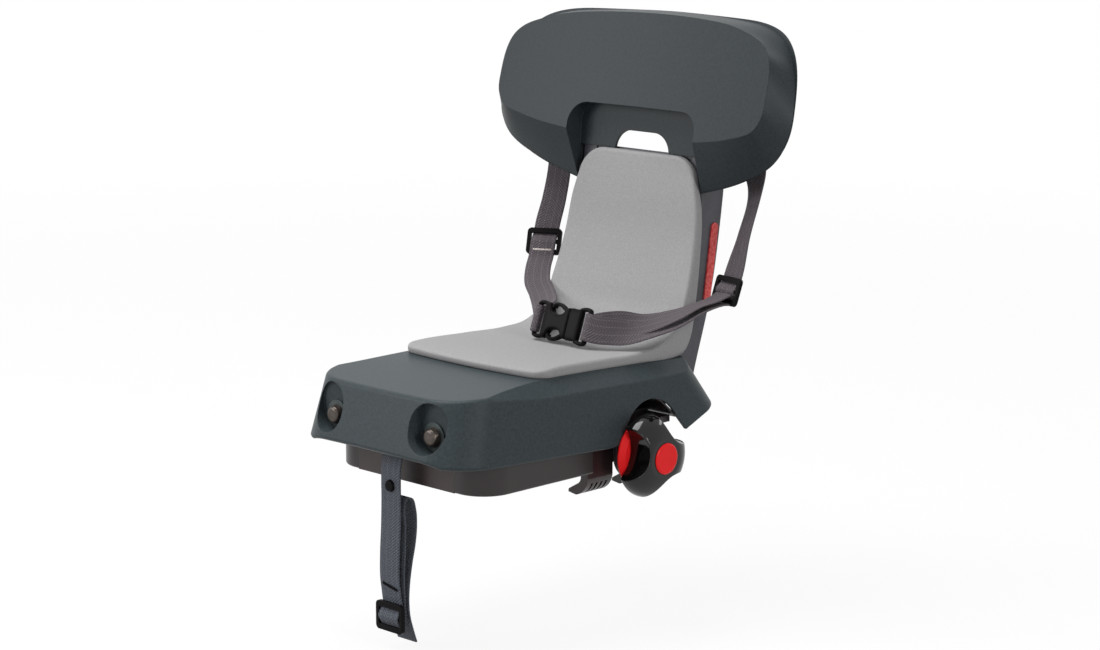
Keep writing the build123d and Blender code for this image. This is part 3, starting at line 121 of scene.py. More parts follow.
def moulding(name, tones, rough, grain_mm, depth_mm, edge_mm, patch_mm=38, **sockets):
    """Finish of a moulded or coated piece: mottled colour, fine grain and rounded edges. Any other named
    value, such as ior, goes to the shader's socket of that name."""
    named = {key.replace("_", " ").title().replace("Ior", "IOR"): value for key, value in sockets.items()}
    finish, tree, shader = new_finish(name, named)
    coords = put(tree, "ShaderNodeTexCoord").outputs["Object"]
    mottled(tree, shader, coords, tones, rough, patch_mm)
    grained(tree, shader, coords, grain_mm, depth_mm, edge_mm)
    return finish


def dress(finish, *names):
    """Give CAD nodes that finish in all their slots."""
    for name in names:
        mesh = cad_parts[name].data
        mesh.materials.clear()
        mesh.materials.append(finish)


powder_coat = moulding(
    "black_powder_coat", ("#141416", "#1b1b1d"), rough=(0.42, 0.55), grain_mm=1.2, depth_mm=0.03, edge_mm=0.4,
)
dress(powder_coat, "base_plate")
zinc_plate = moulding(
    "zinc_plated_steel", ("#8d8c8b", "#b3b2b0"), rough=(0.24, 0.4), grain_mm=0.8, depth_mm=0.01, edge_mm=0.3,
    patch_mm=4, metallic=1.0,
)
dress(
    zinc_plate, "shell_screws", "front_nuts", "frame_bolts", "frame_nuts", "base_screws", "housing_screws",
    "headrest_screws", "belt_screws", "strap_rivet", "jaw_nut_right", "jaw_nut_left", "spindle",
    "spindle_clips", "knob_screw",
)
black_oxide = moulding(
    "black_oxide_steel", ("#453e3a", "#59514b"), rough=(0.26, 0.36), grain_mm=0.8, depth_mm=0.01, edge_mm=0.5,
    patch_mm=6, metallic=0.7,
)
dress(black_oxide, "front_bolts")
washer_steel = moulding(
    "phosphated_steel", ("#3b4243", "#4a5152"), rough=(0.3, 0.4), grain_mm=0.8, depth_mm=0.01, edge_mm=0.4,
    patch_mm=6, metallic=0.7,
)
dress(washer_steel, "front_washers")


# Base: two corner rails, the front cover between them and the clamp housing, smooth brown black polypropylene
# screwed up under the base plate. The mould leaves a soft shine with faint flow marks, and the cover is a
# little lighter.
base_plastic = moulding(
    "brown_black_polypropylene", ("#282122", "#2e2627"), rough=(0.28, 0.36), grain_mm=5.0, depth_mm=0.02,
    edge_mm=1.2, ior=1.49, specular_ior_level=0.42,
)
dress(base_plastic, "base_rail_right", "base_rail_left", "clamp_housing")
cover_plastic = moulding(
    "brown_polypropylene", ("#382d2d", "#3f3333"), rough=(0.34, 0.42), grain_mm=5.0, depth_mm=0.02,
    edge_mm=0.6, ior=1.49, specular_ior_level=0.42,
)
dress(cover_plastic, "base_cover")


# Clamp jaws: two glass filled nylon mouldings with claws that hook under the carrier, each moved by a nut on
# the spindle. The nylon is dark red brown and smooth, with slight ripples where the fill flowed.
jaw_plastic = moulding(
    "red_brown_nylon", ("#2c1d1e", "#352425"), rough=(0.26, 0.34), grain_mm=3.0, depth_mm=0.02, edge_mm=1.0,
    ior=1.53, specular_ior_level=0.44,
)
dress(jaw_plastic, "jaw_right", "jaw_left")


# Knob: a lobed ABS body screwed to the spindle, on a ratchet flange, with a cap pressed in over the screw.
# The body is polished black and mirrors the room; the flange and the cap are red with a satin face.
knob_black = moulding(
    "polished_black_abs", ("#0a0909", "#0f0d0e"), rough=(0.05, 0.08), grain_mm=9.0, depth_mm=0.006,
    edge_mm=1.0, ior=1.54, specular_ior_level=0.34,
)
dress(knob_black, "knob_body")
knob_red = moulding(
    "red_abs", ("#f61c1f", "#ff2528"), rough=(0.3, 0.38), grain_mm=3.0, depth_mm=0.012, edge_mm=0.8,
    ior=1.54, specular_ior_level=0.17,
)
dress(knob_red, "knob_ratchet", "knob_cap")


# Seat shell: one large polypropylene moulding, dark blue grey with a green cast, screwed to the base plate.
# The mould's etched grain gives it a dry, low sheen; the grain is about 0.4 mm and drawn at 1.5 mm so that
# it shows.
shell_plastic = moulding(
    "dark_grey_polypropylene", ("#353d40", "#40484b"), rough=(0.38, 0.46), grain_mm=1.5, depth_mm=0.035,
    edge_mm=1.2, patch_mm=2.2, ior=1.49, specular_ior_level=0.14,
)
dress(shell_plastic, "seat_shell")


# Back frame: a moulded channel behind the pad, bolted to the base plate's rear flange. It is the shell's
# polypropylene in a warmer grey, with the same etched grain and a little more shine.
frame_plastic = moulding(
    "purple_grey_polypropylene", ("#424248", "#4c4c52"), rough=(0.38, 0.44), grain_mm=1.5, depth_mm=0.03,
    edge_mm=1.5, patch_mm=2.2, ior=1.49, specular_ior_level=0.4,
)
dress(frame_plastic, "back_frame")


# Reflectors: clear red acrylic strips set into the sides of the back frame. Rows of prisms are moulded in
# their backs, and their bright flashes are painted highlights: pale patches about 3 mm wide in the red.
reflector_red_painted_glints = moulding(
    "red_acrylic_painted_glints", ("#d4191f", "#f66c68"), rough=(0.12, 0.24), grain_mm=1.6, depth_mm=0.15, edge_mm=0.5,
    patch_mm=3, ior=1.49, specular_ior_level=0.3,
)
dress(reflector_red_painted_glints, "reflector_right", "reflector_left")


# Headrest: a front shell and a rear cover, screwed together through the back frame. Both are charcoal
# polypropylene with the seat shell's dry etched grain.
head_plastic = moulding(
    "charcoal_polypropylene", ("#272d30", "#31373a"), rough=(0.4, 0.48), grain_mm=1.5, depth_mm=0.035,
    edge_mm=0.9, patch_mm=2.2, ior=1.49, specular_ior_level=0.2,
)
dress(head_plastic, "headrest_shell", "headrest_cover")


# Seat pad: firm closed-cell foam, moulded in one L-shaped piece with a softly bevelled edge and faced with a
# matt knit, whose cells are under 1 mm and drawn at 1.3 mm so that they show. It lies on the deck, sweeps up
# in front of the back frame and ends in a rounded top.
def through(knots, steps, dims):
    """Rows on smooth cubic pieces through knots, spaced by the chord length of their first dims columns:
    p(x) = (2x3 - 3x2 + 1) p0 + (x3 - 2x2 + x) d m0 + (3x2 - 2x3) p1 + (x3 - x2) d m1, with d the gap between
    two knots and m the slope from their neighbours."""
    knots = np.asarray(knots, float)
    gaps = np.linalg.norm(np.diff(knots[:, :dims], axis=0), axis=1)
    at = np.concatenate([[0.0], np.cumsum(gaps)])
    slope = np.gradient(knots, at, axis=0)
    place = np.linspace(0, at[-1], steps)
    i = np.clip(np.searchsorted(at, place, side="right") - 1, 0, len(at) - 2)
    d = (at[i + 1] - at[i])[:, None]
    x = (place - at[i])[:, None] / d
    start = (2 * x**3 - 3 * x**2 + 1) * knots[i] + (x**3 - 2 * x**2 + x) * d * slope[i]
    end = (3 * x**2 - 2 * x**3) * knots[i + 1] + (x**3 - x**2) * d * slope[i + 1]
    return place, start + end


def joined(*shells):
    """Points and quads of one or more shells as one mesh. A shell is rows of points, each row closed into a
    ring; a quad joins points j and j + 1 of a row to the same two of the next row."""
    faces = []
    start = 0
    for shell in shells:
        rows, cols = shell.shape[:2]
        i = np.arange(rows - 1)[:, None]
        j = np.arange(cols)[None, :]
        k = (j + 1) % cols
        quads = np.stack([i * cols + j, i * cols + k, (i + 1) * cols + k, (i + 1) * cols + j], -1)
        faces.append(quads.reshape(-1, 4) + start)
        start += rows * cols
    return np.concatenate([shell.reshape(-1, 3) for shell in shells]), np.concatenate(faces)


def new_piece(name, points, faces, finish, flat_map=None):
    """Object of a closed mesh from points in millimetres: doubles merged, faces outward, shaded smooth.
    flat_map gives each point's place on the cloth laid flat, in metres."""
    mesh = bpy.data.meshes.new(name)
    mesh.from_pydata((points / 1000).tolist(), [], faces.tolist())
    if flat_map is not None:
        corner = np.empty(len(mesh.loops), np.int32)
        mesh.loops.foreach_get("vertex_index", corner)
        layer = mesh.uv_layers.new(name="cloth")
        layer.data.foreach_set("uv", flat_map.reshape(-1, 2)[corner].astype(np.float32).ravel())
    shape = bmesh.new()
    shape.from_mesh(mesh)
    bmesh.ops.remove_doubles(shape, verts=shape.verts, dist=1e-6)
    bmesh.ops.recalc_face_normals(shape, faces=shape.faces)
    shape.to_mesh(mesh)
    shape.free()
    mesh.polygons.foreach_set("use_smooth", np.ones(len(mesh.polygons), bool))
    mesh.materials.append(finish)
    made = bpy.data.objects.new(name, mesh)
    bpy.context.scene.collection.objects.link(made)
    return made


def pad_points():
    """Rings of the pad. With B the outline on the unrolled pad, N its inward normal and C the middle line,
    a ring is B + d N in the bevel and B + d N + q (C - B - d N) inside; height f lies between the curves
    under and over of the side view: point = (u, under(s) + f (over(s) - under(s)))."""
    # y and z of the upper face, then of the underside, from the front edge to the top
    side_view = [
        (-112, 98, -112, 91), (-100, 99.4, -100, 90.6), (-30, 99, -30, 88.2), (20, 97.8, 24, 86.6),
        (46, 100.4, 62, 85), (61, 107.2, 80, 88.6), (73, 119.5, 90, 101.5), (83, 142.5, 98.8, 137),
        (96.6, 186.4, 108.5, 184), (104.2, 234.2, 114.5, 233), (109, 262, 118, 262),
    ]
    along, curves = through(side_view, steps=500, dims=2)
    half, front_r, top_r, edge_r = 89.0, 15.0, 29.0, 3.2
    lean, bow = np.radians(11), 4.0
    top = along[-1]
    high = top - top_r + top_r * np.sin(lean)
    # half width at each distance along the pad
    widths = [(0, half), (110, 88.4), (205, 87.5), (252, 83.6), (296, 79), (high, 73.5)]
    w_at, w_rows = through(widths, steps=200, dims=1)
    s_side = np.linspace(bow + front_r, high, 70)
    u_side = np.interp(s_side, w_at, w_rows[:, 1])
    turn = np.linspace(0, np.pi / 2, 14)[1:-1]
    rise = np.linspace(lean, np.pi / 2, 18)[1:]
    u_top = u_side[-1] - top_r * np.cos(lean) + top_r * np.cos(rise)
    u_front = np.linspace(0, half - front_r, 26)
    u_end = np.linspace(u_top[-1], 0, 14)[1:]
    u = np.concatenate([u_front, half - front_r + front_r * np.sin(turn), u_side, u_top, u_end])
    s = np.concatenate([
        bow * (u_front / (half - front_r)) ** 2, bow + front_r - front_r * np.cos(turn), s_side,
        top - top_r + top_r * np.sin(rise), np.full(u_end.shape, top),
    ])
    edge = np.stack([np.concatenate([u, -u[-2:0:-1]]), np.concatenate([s, s[-2:0:-1]])], -1)
    run = np.roll(edge, -1, 0) - np.roll(edge, 1, 0)
    inward = np.stack([-run[:, 1], run[:, 0]], -1) / np.linalg.norm(run, axis=1)[:, None]
    from_front, from_top = 62, 58
    middle = np.stack([np.zeros(len(edge)), np.clip(edge[:, 1], from_front, top - from_top)], -1)
    # rings: the underside out from its middle, the undercut edge, the bevel, the upper face in to its middle
    bend = np.linspace(0, np.pi / 2, 9)
    d = np.concatenate([[2.6, 2.6, 2.6, 0.9, 0], edge_r * (1 - np.cos(bend)), np.full(9, edge_r)])
    f = np.concatenate([[0, 0, 0, 0.14, 0.34], 0.68 + 0.3 * np.sin(bend), [0.985, 0.99], np.ones(7)])
    q = np.concatenate([[1, 0.5, 0, 0, 0], np.zeros(9), [0.02, 0.05], np.linspace(0.1, 1, 7)])
    ring = edge[None] + d[:, None, None] * inward[None]
    ring = ring + q[:, None, None] * (middle[None] - ring)
    level = f[:, None]
    oy, oz, uy, uz = (np.interp(ring[..., 1], along, curves[:, k]) for k in range(4))
    return np.stack([ring[..., 0], uy + level * (oy - uy), uz + level * (oz - uz)], -1)


pad_foam = moulding(
    "knit_faced_foam", ("#959495", "#a5a4a5"), rough=(0.74, 0.84), grain_mm=1.3, depth_mm=0.1, edge_mm=0.5,
    patch_mm=1.3,
)
pad = new_piece("pad_foam", *joined(pad_points()), pad_foam)
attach(pad, "seat")
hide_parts("seat_pad")


# Tri-glides and the strap's snap: small black acetal mouldings, threaded on the webbing or riveted to it.
# Acetal comes out of the mould dry and slightly satin, so they show little but their edges.
acetal = moulding(
    "black_acetal", ("#131112", "#171516"), rough=(0.3, 0.4), grain_mm=1.5, depth_mm=0.015, edge_mm=1.2,
    ior=1.48, specular_ior_level=0.05,
)
dress(acetal, "tri_glide_left", "tri_glide_right", "tri_glide_strap", "strap_snap")


# Buckle: side-release buckle of the same acetal. The socket has a waist, where the tongue's two sprung arms
# show as ovals above and below, and each half ends in an open frame whose bar carries the webbing.
def to_buckle(local):
    """World points of (along, up, out) in the buckle's plane, which leans back by 20 degrees."""
    lean = np.radians(20)
    middle = np.array([12, -2, 117])
    axes = np.array([[1, 0, 0], [0, np.sin(lean), np.cos(lean)], [0, -np.cos(lean), np.sin(lean)]])
    return middle + np.asarray(local, float) @ axes


def closed_ends(rings):
    """Rings of points with a pole added at each end, the middle of the end ring."""
    first = np.broadcast_to(rings[:1].mean(1, keepdims=True), rings[:1].shape)
    last = np.broadcast_to(rings[-1:].mean(1, keepdims=True), rings[-1:].shape)
    return np.concatenate([first, rings, last])


def pod(stations, steps=60, sides=40, power=0.4):
    """Rounded body along the buckle: rings (x, h C, t S), with C and S the cosine and sine of the angle
    raised to a power with their sign kept; stations give x, half height h and half thickness t."""
    _, rows = through(stations, steps, dims=1)
    turn = np.linspace(0, 2 * np.pi, sides + 1)[:-1]
    up = np.sign(np.cos(turn)) * np.abs(np.cos(turn)) ** power
    out = np.sign(np.sin(turn)) * np.abs(np.sin(turn)) ** power
    x, h, t = (rows[:, k, None] for k in range(3))
    return closed_ends(to_buckle(np.stack(np.broadcast_arrays(x, h * up, t * out), -1)))


def band_outline(width, thick):
    """Section of a band, offsets across and out of its face: flat faces joined by half round edges."""
    r = thick / 2
    inner = width / 2 - r
    flat = np.linspace(-1, 1, 13) * inner
    turn = np.linspace(np.pi / 2, -np.pi / 2, 7)[1:-1]
    across = np.concatenate([flat, inner + r * np.cos(turn), flat[::-1], -inner - r * np.cos(turn)])
    face = np.full(flat.shape, r)
    out = np.concatenate([face, r * np.sin(turn), -face, -r * np.sin(turn)])
    return across, out


def swept(knots, outline, steps):
    """Section carried along a smooth path: point = c + a w + n (w x T), with c the path, T its tangent and w
    the width direction turned square to T; knots hold c and w. Also gives each point's place on the band
    laid flat and the path's length, in metres."""
    _, rows = through(knots, steps, dims=3)
    c = rows[:, :3]
    tangent = np.gradient(c, axis=0)
    tangent = tangent / np.linalg.norm(tangent, axis=1)[:, None]
    wide = rows[:, 3:] - (rows[:, 3:] * tangent).sum(1)[:, None] * tangent
    wide = wide / np.linalg.norm(wide, axis=1)[:, None]
    out = np.cross(wide, tangent)
    a, n = outline
    rings = c[:, None] + a[None, :, None] * wide[:, None] + n[None, :, None] * out[:, None]
    length = np.concatenate([[0], np.cumsum(np.linalg.norm(np.diff(c, axis=0), axis=1))]) / 1000
    ends = length[[0, *range(steps), -1]]
    flat_map = np.stack(np.broadcast_arrays(a[None] / 1000, ends[:, None]), -1)
    return closed_ends(rings), flat_map, length[-1]


def limb(flat_path, outline, steps):
    """Moulded limb of the buckle: rounded section along a path of (along, up) in the buckle's plane."""
    flat_path = np.asarray(flat_path, float)
    place = to_buckle(np.column_stack([flat_path, np.zeros(len(flat_path))]))
    face = to_buckle([0, 0, 1]) - to_buckle([0, 0, 0])
    return swept(np.column_stack([place, np.tile(face, (len(place), 1))]), outline, steps)[0]


bar_at = 32
bar_section = band_outline(width=5.6, thick=3.8)
bar_side = np.array([(20.5, 14.4), (25, 15.5), (29, 15.6), (31.3, 14.7), (bar_at, 12.6), (bar_at, 6)])
bar_path = np.concatenate([bar_side, [(bar_at, 0)], (bar_side * (1, -1))[::-1]])
socket_body = pod([
    (-22.5, 13, 2.2), (-22, 15, 3.4), (-20, 16.4, 4.2), (-17.5, 16, 4.5), (-13.5, 9.5, 4.5), (-9, 7.4, 4.5),
    (-3, 7.2, 4.5), (1, 9, 4.5), (4.5, 13.4, 4.5), (7, 14.4, 4.4), (8, 14.2, 4), (8.4, 13, 3.2),
])
socket_bar = limb(bar_path * (-1, 1), bar_section, steps=90)
socket = new_piece("buckle_socket", *joined(socket_body, socket_bar), acetal)
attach(socket, "seat")
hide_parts("buckle_female")

tongue_body = pod([
    (8.9, 13, 3), (9.3, 14.2, 3.4), (11, 14.8, 3.6), (16, 14.8, 3.6), (19.5, 14.9, 3.6), (22.2, 14.6, 3.4),
    (22.8, 13.4, 2.8),
])
arm_section = band_outline(width=6.4, thick=3.2)
arm_path = np.array([
    (9.5, 9.5), (4, 11), (0, 13.2), (-4, 15.2), (-8.5, 16.2), (-11.6, 15.6), (-13.6, 13.6), (-13.4, 12.2),
])
tongue = new_piece("buckle_tongue_moulding", *joined(
    tongue_body, limb(bar_path, bar_section, steps=90), limb(arm_path, arm_section, steps=60),
    limb(arm_path * (1, -1), arm_section, steps=60),
), acetal)
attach(tongue, "buckle_tongue")
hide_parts("buckle_male")


# Shoulder belts: woven polyester webbing 25 mm wide, a dull band with a fine chevron and sewn rows. Each
# hangs from the headrest, is threaded over a tri-glide and turns round the bar of its buckle half; the right
# one comes back doubled to its tri-glide.
def webbing(name, dark, light, thread):
    """Woven band: chevron twill sin(k1 |u| + k2 v) over lengthwise ribs, with four dotted rows of stitches.
    The real yarns are about 0.5 mm; ribs and twill are drawn coarser so that they show."""
    # in metres: the weave's repeats and relief, then the stitch rows' places, half width and repeat
    twill_across, twill_along, rib_pitch, relief = 0.0034, 0.0028, 0.0014, 0.0002
    row_pair, row_apart, row_half, stitch_pitch = 0.0066, 0.0030, 0.00032, 0.0026
    rib_share, stitch_share = 0.6, 0.55
    swing = 1 + rib_share
    finish, tree, shader = new_finish(name, {
        "Roughness": 0.6, "Sheen Weight": 0.08, "Sheen Roughness": 0.4, "IOR": 1.57,
        "Specular IOR Level": 0.24,
    })
    cloth_map = put(tree, "ShaderNodeUVMap", uv_map="cloth").outputs["UV"]
    place = put(tree, "ShaderNodeSeparateXYZ", {"Vector": cloth_map})
    u, v = place.outputs["X"], place.outputs["Y"]
    side = put(tree, "ShaderNodeMath", {0: u}, operation="ABSOLUTE").outputs[0]
    lean = put(tree, "ShaderNodeMath", {
        0: side, 1: 2 * np.pi / twill_across,
    }, operation="MULTIPLY").outputs[0]
    phase = put(tree, "ShaderNodeMath", {
        0: v, 1: 2 * np.pi / twill_along, 2: lean,
    }, operation="MULTIPLY_ADD").outputs[0]
    twill = put(tree, "ShaderNodeMath", {0: phase}, operation="SINE").outputs[0]
    across = put(tree, "ShaderNodeMath", {0: u, 1: 2 * np.pi / rib_pitch}, operation="MULTIPLY").outputs[0]
    rib = put(tree, "ShaderNodeMath", {0: across}, operation="SINE").outputs[0]
    height = put(tree, "ShaderNodeMath", {
        0: rib, 1: rib_share, 2: twill,
    }, operation="MULTIPLY_ADD").outputs[0]
    tone = put(tree, "ShaderNodeMapRange", {"Value": height, "From Min": -swing, "From Max": swing})
    # sockets 6 and 7 of a Mix node are its two colours, and output 2 is the mixed one
    cloth = put(tree, "ShaderNodeMix", {
        0: tone.outputs["Result"], 6: linear(dark), 7: linear(light),
    }, data_type="RGBA").outputs[2]
    off = put(tree, "ShaderNodeMath", {0: side, 1: row_pair}, operation="SUBTRACT").outputs[0]
    far = put(tree, "ShaderNodeMath", {0: off}, operation="ABSOLUTE").outputs[0]
    near = put(tree, "ShaderNodeMath", {0: far, 1: row_apart, 2: row_half}, operation="COMPARE").outputs[0]
    beat = put(tree, "ShaderNodeMath", {0: v, 1: 1 / stitch_pitch}, operation="MULTIPLY").outputs[0]
    part = put(tree, "ShaderNodeMath", {0: beat}, operation="FRACT").outputs[0]
    dash = put(tree, "ShaderNodeMath", {0: part, 1: stitch_share}, operation="LESS_THAN").outputs[0]
    stitch = put(tree, "ShaderNodeMath", {0: near, 1: dash}, operation="MULTIPLY").outputs[0]
    sewn = put(tree, "ShaderNodeMix", {0: stitch, 6: cloth, 7: linear(thread)}, data_type="RGBA").outputs[2]
    tree.links.new(sewn, shader.inputs["Base Color"])
    bump = put(tree, "ShaderNodeBump", {"Height": height, "Distance": relief, "Strength": 0.9})
    tree.links.new(bump.outputs["Normal"], shader.inputs["Normal"])
    return finish


def round_bar(bar, angles):
    """Knots of webbing that turns about a buckle bar: (bar + reach cos t, 0, reach sin t) in the buckle's
    plane, with reach from the bar's middle to the middle of the webbing."""
    reach = 3.65
    t = np.radians(np.array(angles, float))
    c = to_buckle(np.stack([bar + reach * np.cos(t), np.zeros(len(t)), reach * np.sin(t)], -1))
    rise = to_buckle([0, 1, 0]) - to_buckle([0, 0, 0])
    return np.concatenate([c, np.broadcast_to(rise, c.shape)], 1)


glide_crest = 5.3


def over_glide(centre, along, across, out, low):
    """Knots of webbing threaded up over a tri-glide's middle bar: c = centre + t along + h out. Its lower run
    starts at height low, which is 0 behind the frame and the crest's height over the frame's face."""
    t = np.array([-14, -9.5, -5, 0, 5, 9.5, 15.0])[:, None]
    h = np.array([low, low, (low + glide_crest) / 2, glide_crest, 2.7, 0.1, 0.0])[:, None]
    c = np.array(centre) + t * np.array(along) + h * np.array(out)
    return np.concatenate([c, np.broadcast_to(np.array(across), c.shape)], 1)


belt_weave = webbing("purple_grey_webbing", "#443d42", "#5c555a", "#756d73")
belt_section = band_outline(width=25.0, thick=1.6)
left_glide_along, left_glide_across = (-0.15, 0.36, 0.92), (0.87, 0.49, 0)
left_knots = np.concatenate([
    round_bar(-bar_at, (-95, -45, 0, 45, 90, 135, 180)),
    [
        (-27, 8, 114.5, 0.05, 0.36, 0.93), (-38, 23, 116, 0.35, 0.5, 0.78),
        (-58, 45, 119.5, 0.66, 0.62, 0.38), (-79, 62, 125.5, 0.76, 0.6, 0.15),
        (-95, 72, 133, 0.82, 0.55, 0.05), (-107.5, 86, 144.5, 0.86, 0.5, 0),
    ],
    over_glide((-118, 105, 164), left_glide_along, left_glide_across, (0.451, -0.8, 0.387), glide_crest),
    [
        (-122, 122, 205, 0.92, 0.38, 0), (-125, 132, 238, 0.98, 0.2, 0), (-125, 131, 252, 1, 0, 0),
        (-125, 131, 277, 1, 0, 0),
    ],
])
left_rings, left_map, left_length = swept(left_knots, belt_section, steps=340)
left_belt = new_piece("left_shoulder_belt", *joined(left_rings), belt_weave, left_map)
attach(left_belt, "seat")
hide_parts("belt_left")

right_knots = np.concatenate([
    [
        (117, 101, 145, -0.95, 0.3, 0), (113, 92, 140, -0.85, 0.5, 0), (105, 79, 135, -0.8, 0.5, -0.05),
        (94, 60, 127, -0.78, 0.45, 0.15), (78, 38, 120, -0.6, 0.5, 0.5), (60, 14, 119.5, -0.05, 0.34, 0.94),
        (50.5, 2.5, 117.6, 0, 0.34, 0.94),
    ],
    round_bar(bar_at, (-70, -110, -150, 180, 150, 110, 75)),
    [
        (52, -1.5, 116.2, 0, 0.34, 0.94), (63, 9.5, 114.5, -0.1, 0.34, 0.94), (82, 34, 114, -0.7, 0.5, 0.35),
        (98, 58, 120, -0.8, 0.45, 0.03), (108, 78, 129.5, -0.8, 0.5, -0.1), (114.5, 93, 136, -0.9, 0.35, 0),
    ],
    over_glide((118, 105, 146), (0.06, 0.32, 0.94), (-0.98, 0.17, 0), (-0.16, -0.921, 0.324), 0.0)[1:],
    [
        (122, 120, 195, -0.9, 0.43, 0), (125, 131, 236, -0.94, 0.34, 0), (125, 131, 252, -1, 0, 0),
        (125, 131, 277, -1, 0, 0),
    ],
])
right_rings, right_map, right_length = swept(right_knots, belt_section, steps=520)
right_belt = new_piece("right_shoulder_belt", *joined(right_rings), belt_weave, right_map)
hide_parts("belt_right")
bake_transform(right_belt)


# Bar tack: a dense zigzag row of pale polyester thread that sews the webbing back on itself by the left
# tri-glide. The thread is matt and stands a little proud of the cloth.
def zigzag(centre, across, along, width, rise, turns):
    """Knots of a thread that crosses a band: c = centre + width x across + (rise / 2) flip along, where x
    runs from -1/2 to 1/2 and flip is -1 and 1 in turn."""
    x = np.linspace(-0.5, 0.5, 2 * turns + 1)[:, None]
    flip = np.where(np.arange(2 * turns + 1) % 2 == 0, -1.0, 1.0)[:, None]
    c = np.array(centre) + width * x * np.array(across) + 0.5 * rise * flip * np.array(along)
    return np.concatenate([c, np.broadcast_to(np.cross(across, along), c.shape)], 1)


thread_r = 0.38
round_turn = np.linspace(0, 2 * np.pi, 7)[:-1]
thread_section = (thread_r * np.cos(round_turn), thread_r * np.sin(round_turn))
pale_thread = moulding(
    "pale_polyester_thread", ("#cfc3bd", "#e2d8d3"), rough=(0.6, 0.7), grain_mm=0.6, depth_mm=0.05,
    edge_mm=0.1, patch_mm=1, ior=1.57, specular_ior_level=0.4,
)
left_path = zigzag((-113.9, 97, 158.2), left_glide_across, left_glide_along, width=18, rise=1.6, turns=13)
left_thread = swept(left_path, thread_section, steps=120)[0]
left_tack = new_piece("left_belt_tack", *joined(left_thread), pale_thread)
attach(left_tack, "seat")


# Pad board: a thin moulded panel behind the pad's rounded top, in the back frame's plastic and welded to the
# frame's front wall. Its square corners close the view beside the pad's own.
def cross_band(middle, line, outline, steps):
    """Band whose width lies along x, carried along the points (middle, y, z) of a line of (y, z)."""
    line = np.asarray(line, float)
    knots = np.column_stack([np.full(len(line), middle), line, np.tile((1.0, 0.0, 0.0), (len(line), 1))])
    return swept(knots, outline, steps)


board_line = [(115.4, 228), (117.0, 240), (118.2, 252), (119.2, 263)]
board_rings = cross_band(0.0, board_line, band_outline(width=145, thick=1.6), steps=24)[0]
board = new_piece("pad_board", *joined(board_rings), frame_plastic)
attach(board, "seat")


# Arch liners: black mouldings that follow the shell's two side arches inward and close the view behind the
# knob; each is clipped to the inner face of the shell's side wall.
liner_line = [(53, 36), (48.6, 40.2), (41, 47), (31, 55), (18, 59.2), (4, 56.6), (-7, 50.4), (-15.4, 41.8)]
for liner_at, liner_name in ((85.0, "arch_liner_right"), (-85.0, "arch_liner_left")):
    liner_rings = cross_band(liner_at, liner_line, band_outline(width=34, thick=1.8), steps=80)[0]
    liner = new_piece(liner_name, *joined(liner_rings), base_plastic)
    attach(liner, "seat")


# Safety strap: the same webbing in blue grey, sewn with a row of matt dark thread. It hangs from the rivet on
# the base plate, is threaded over its tri-glide, goes up in a loose loop behind and comes down again to a
# cut tail.
strap_weave = webbing("blue_grey_webbing", "#363a42", "#60656f", "#6c727d")
strap_line = [
    (-189.8, 74), (-189.8, 60), (-190.5, 45), (-196.5, 30), (-200.4, 16), (-201, 2), (-201, -12),
    (-201.8, -38), (-203, -65), (-202.6, -86), (-201.2, -100), (-201, -109.5), (-203.7, -114), (-206.3, -119),
    (-203.7, -124), (-200.6, -128.5), (-197.6, -128), (-196.4, -120), (-197, -104), (-197.6, -84),
    (-196.4, -58), (-195.8, -36), (-196.8, -20), (-193.8, -11.6), (-188, -13.2), (-184.3, -23), (-183.4, -38),
    (-185.2, -53), (-189.6, -72), (-192.6, -90), (-193.6, -104), (-192.6, -118), (-189, -131), (-185, -143),
]
sway = np.concatenate([
    np.zeros(7), [0, -0.5, -1, -0.5], np.zeros(5), np.linspace(0, 1.5, len(strap_line) - 16),
])
strap_rings, strap_map, strap_length = cross_band(sway, strap_line, belt_section, steps=420)
strap = new_piece("hanging_strap", *joined(strap_rings), strap_weave, strap_map)
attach(strap, "seat")
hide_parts("safety_strap")

dark_thread = moulding(
    "dark_polyester_thread", ("#0b0c0f", "#121318"), rough=(0.7, 0.8), grain_mm=0.6, depth_mm=0.05,
    edge_mm=0.1, patch_mm=1, ior=1.57, specular_ior_level=0.08,
)
strap_path = zigzag(
    (-0.6, -203.2, -91.5), (0.978, 0, -0.208), (0.208, 0, 0.978), width=19, rise=2.6, turns=19,
)
strap_thread = swept(strap_path, thread_section, steps=120)[0]
strap_tack = new_piece("strap_tack", *joined(strap_thread), dark_thread)
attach(strap_tack, "seat")


# Floor and backdrop: a wide painted floor just below the hanging strap, under an even white sky. Seen by the
# camera, in a mirror or through glass, both are white, and the floor keeps a trace of the object's shadow
# that fades out with distance. For all other rays the paint is a mid grey and the sky is dim.
def seen_mask(tree):
    """1 for rays from the camera, off a mirror or through glass, and 0 for the rest."""
    rays = put(tree, "ShaderNodeLightPath")
    direct = put(tree, "ShaderNodeMath", {
        0: rays.outputs["Is Camera Ray"], 1: rays.outputs["Is Glossy Ray"],
    }, operation="MAXIMUM")
    return put(tree, "ShaderNodeMath", {
        0: direct.outputs[0], 1: rays.outputs["Is Transmission Ray"],
    }, operation="MAXIMUM").outputs[0]


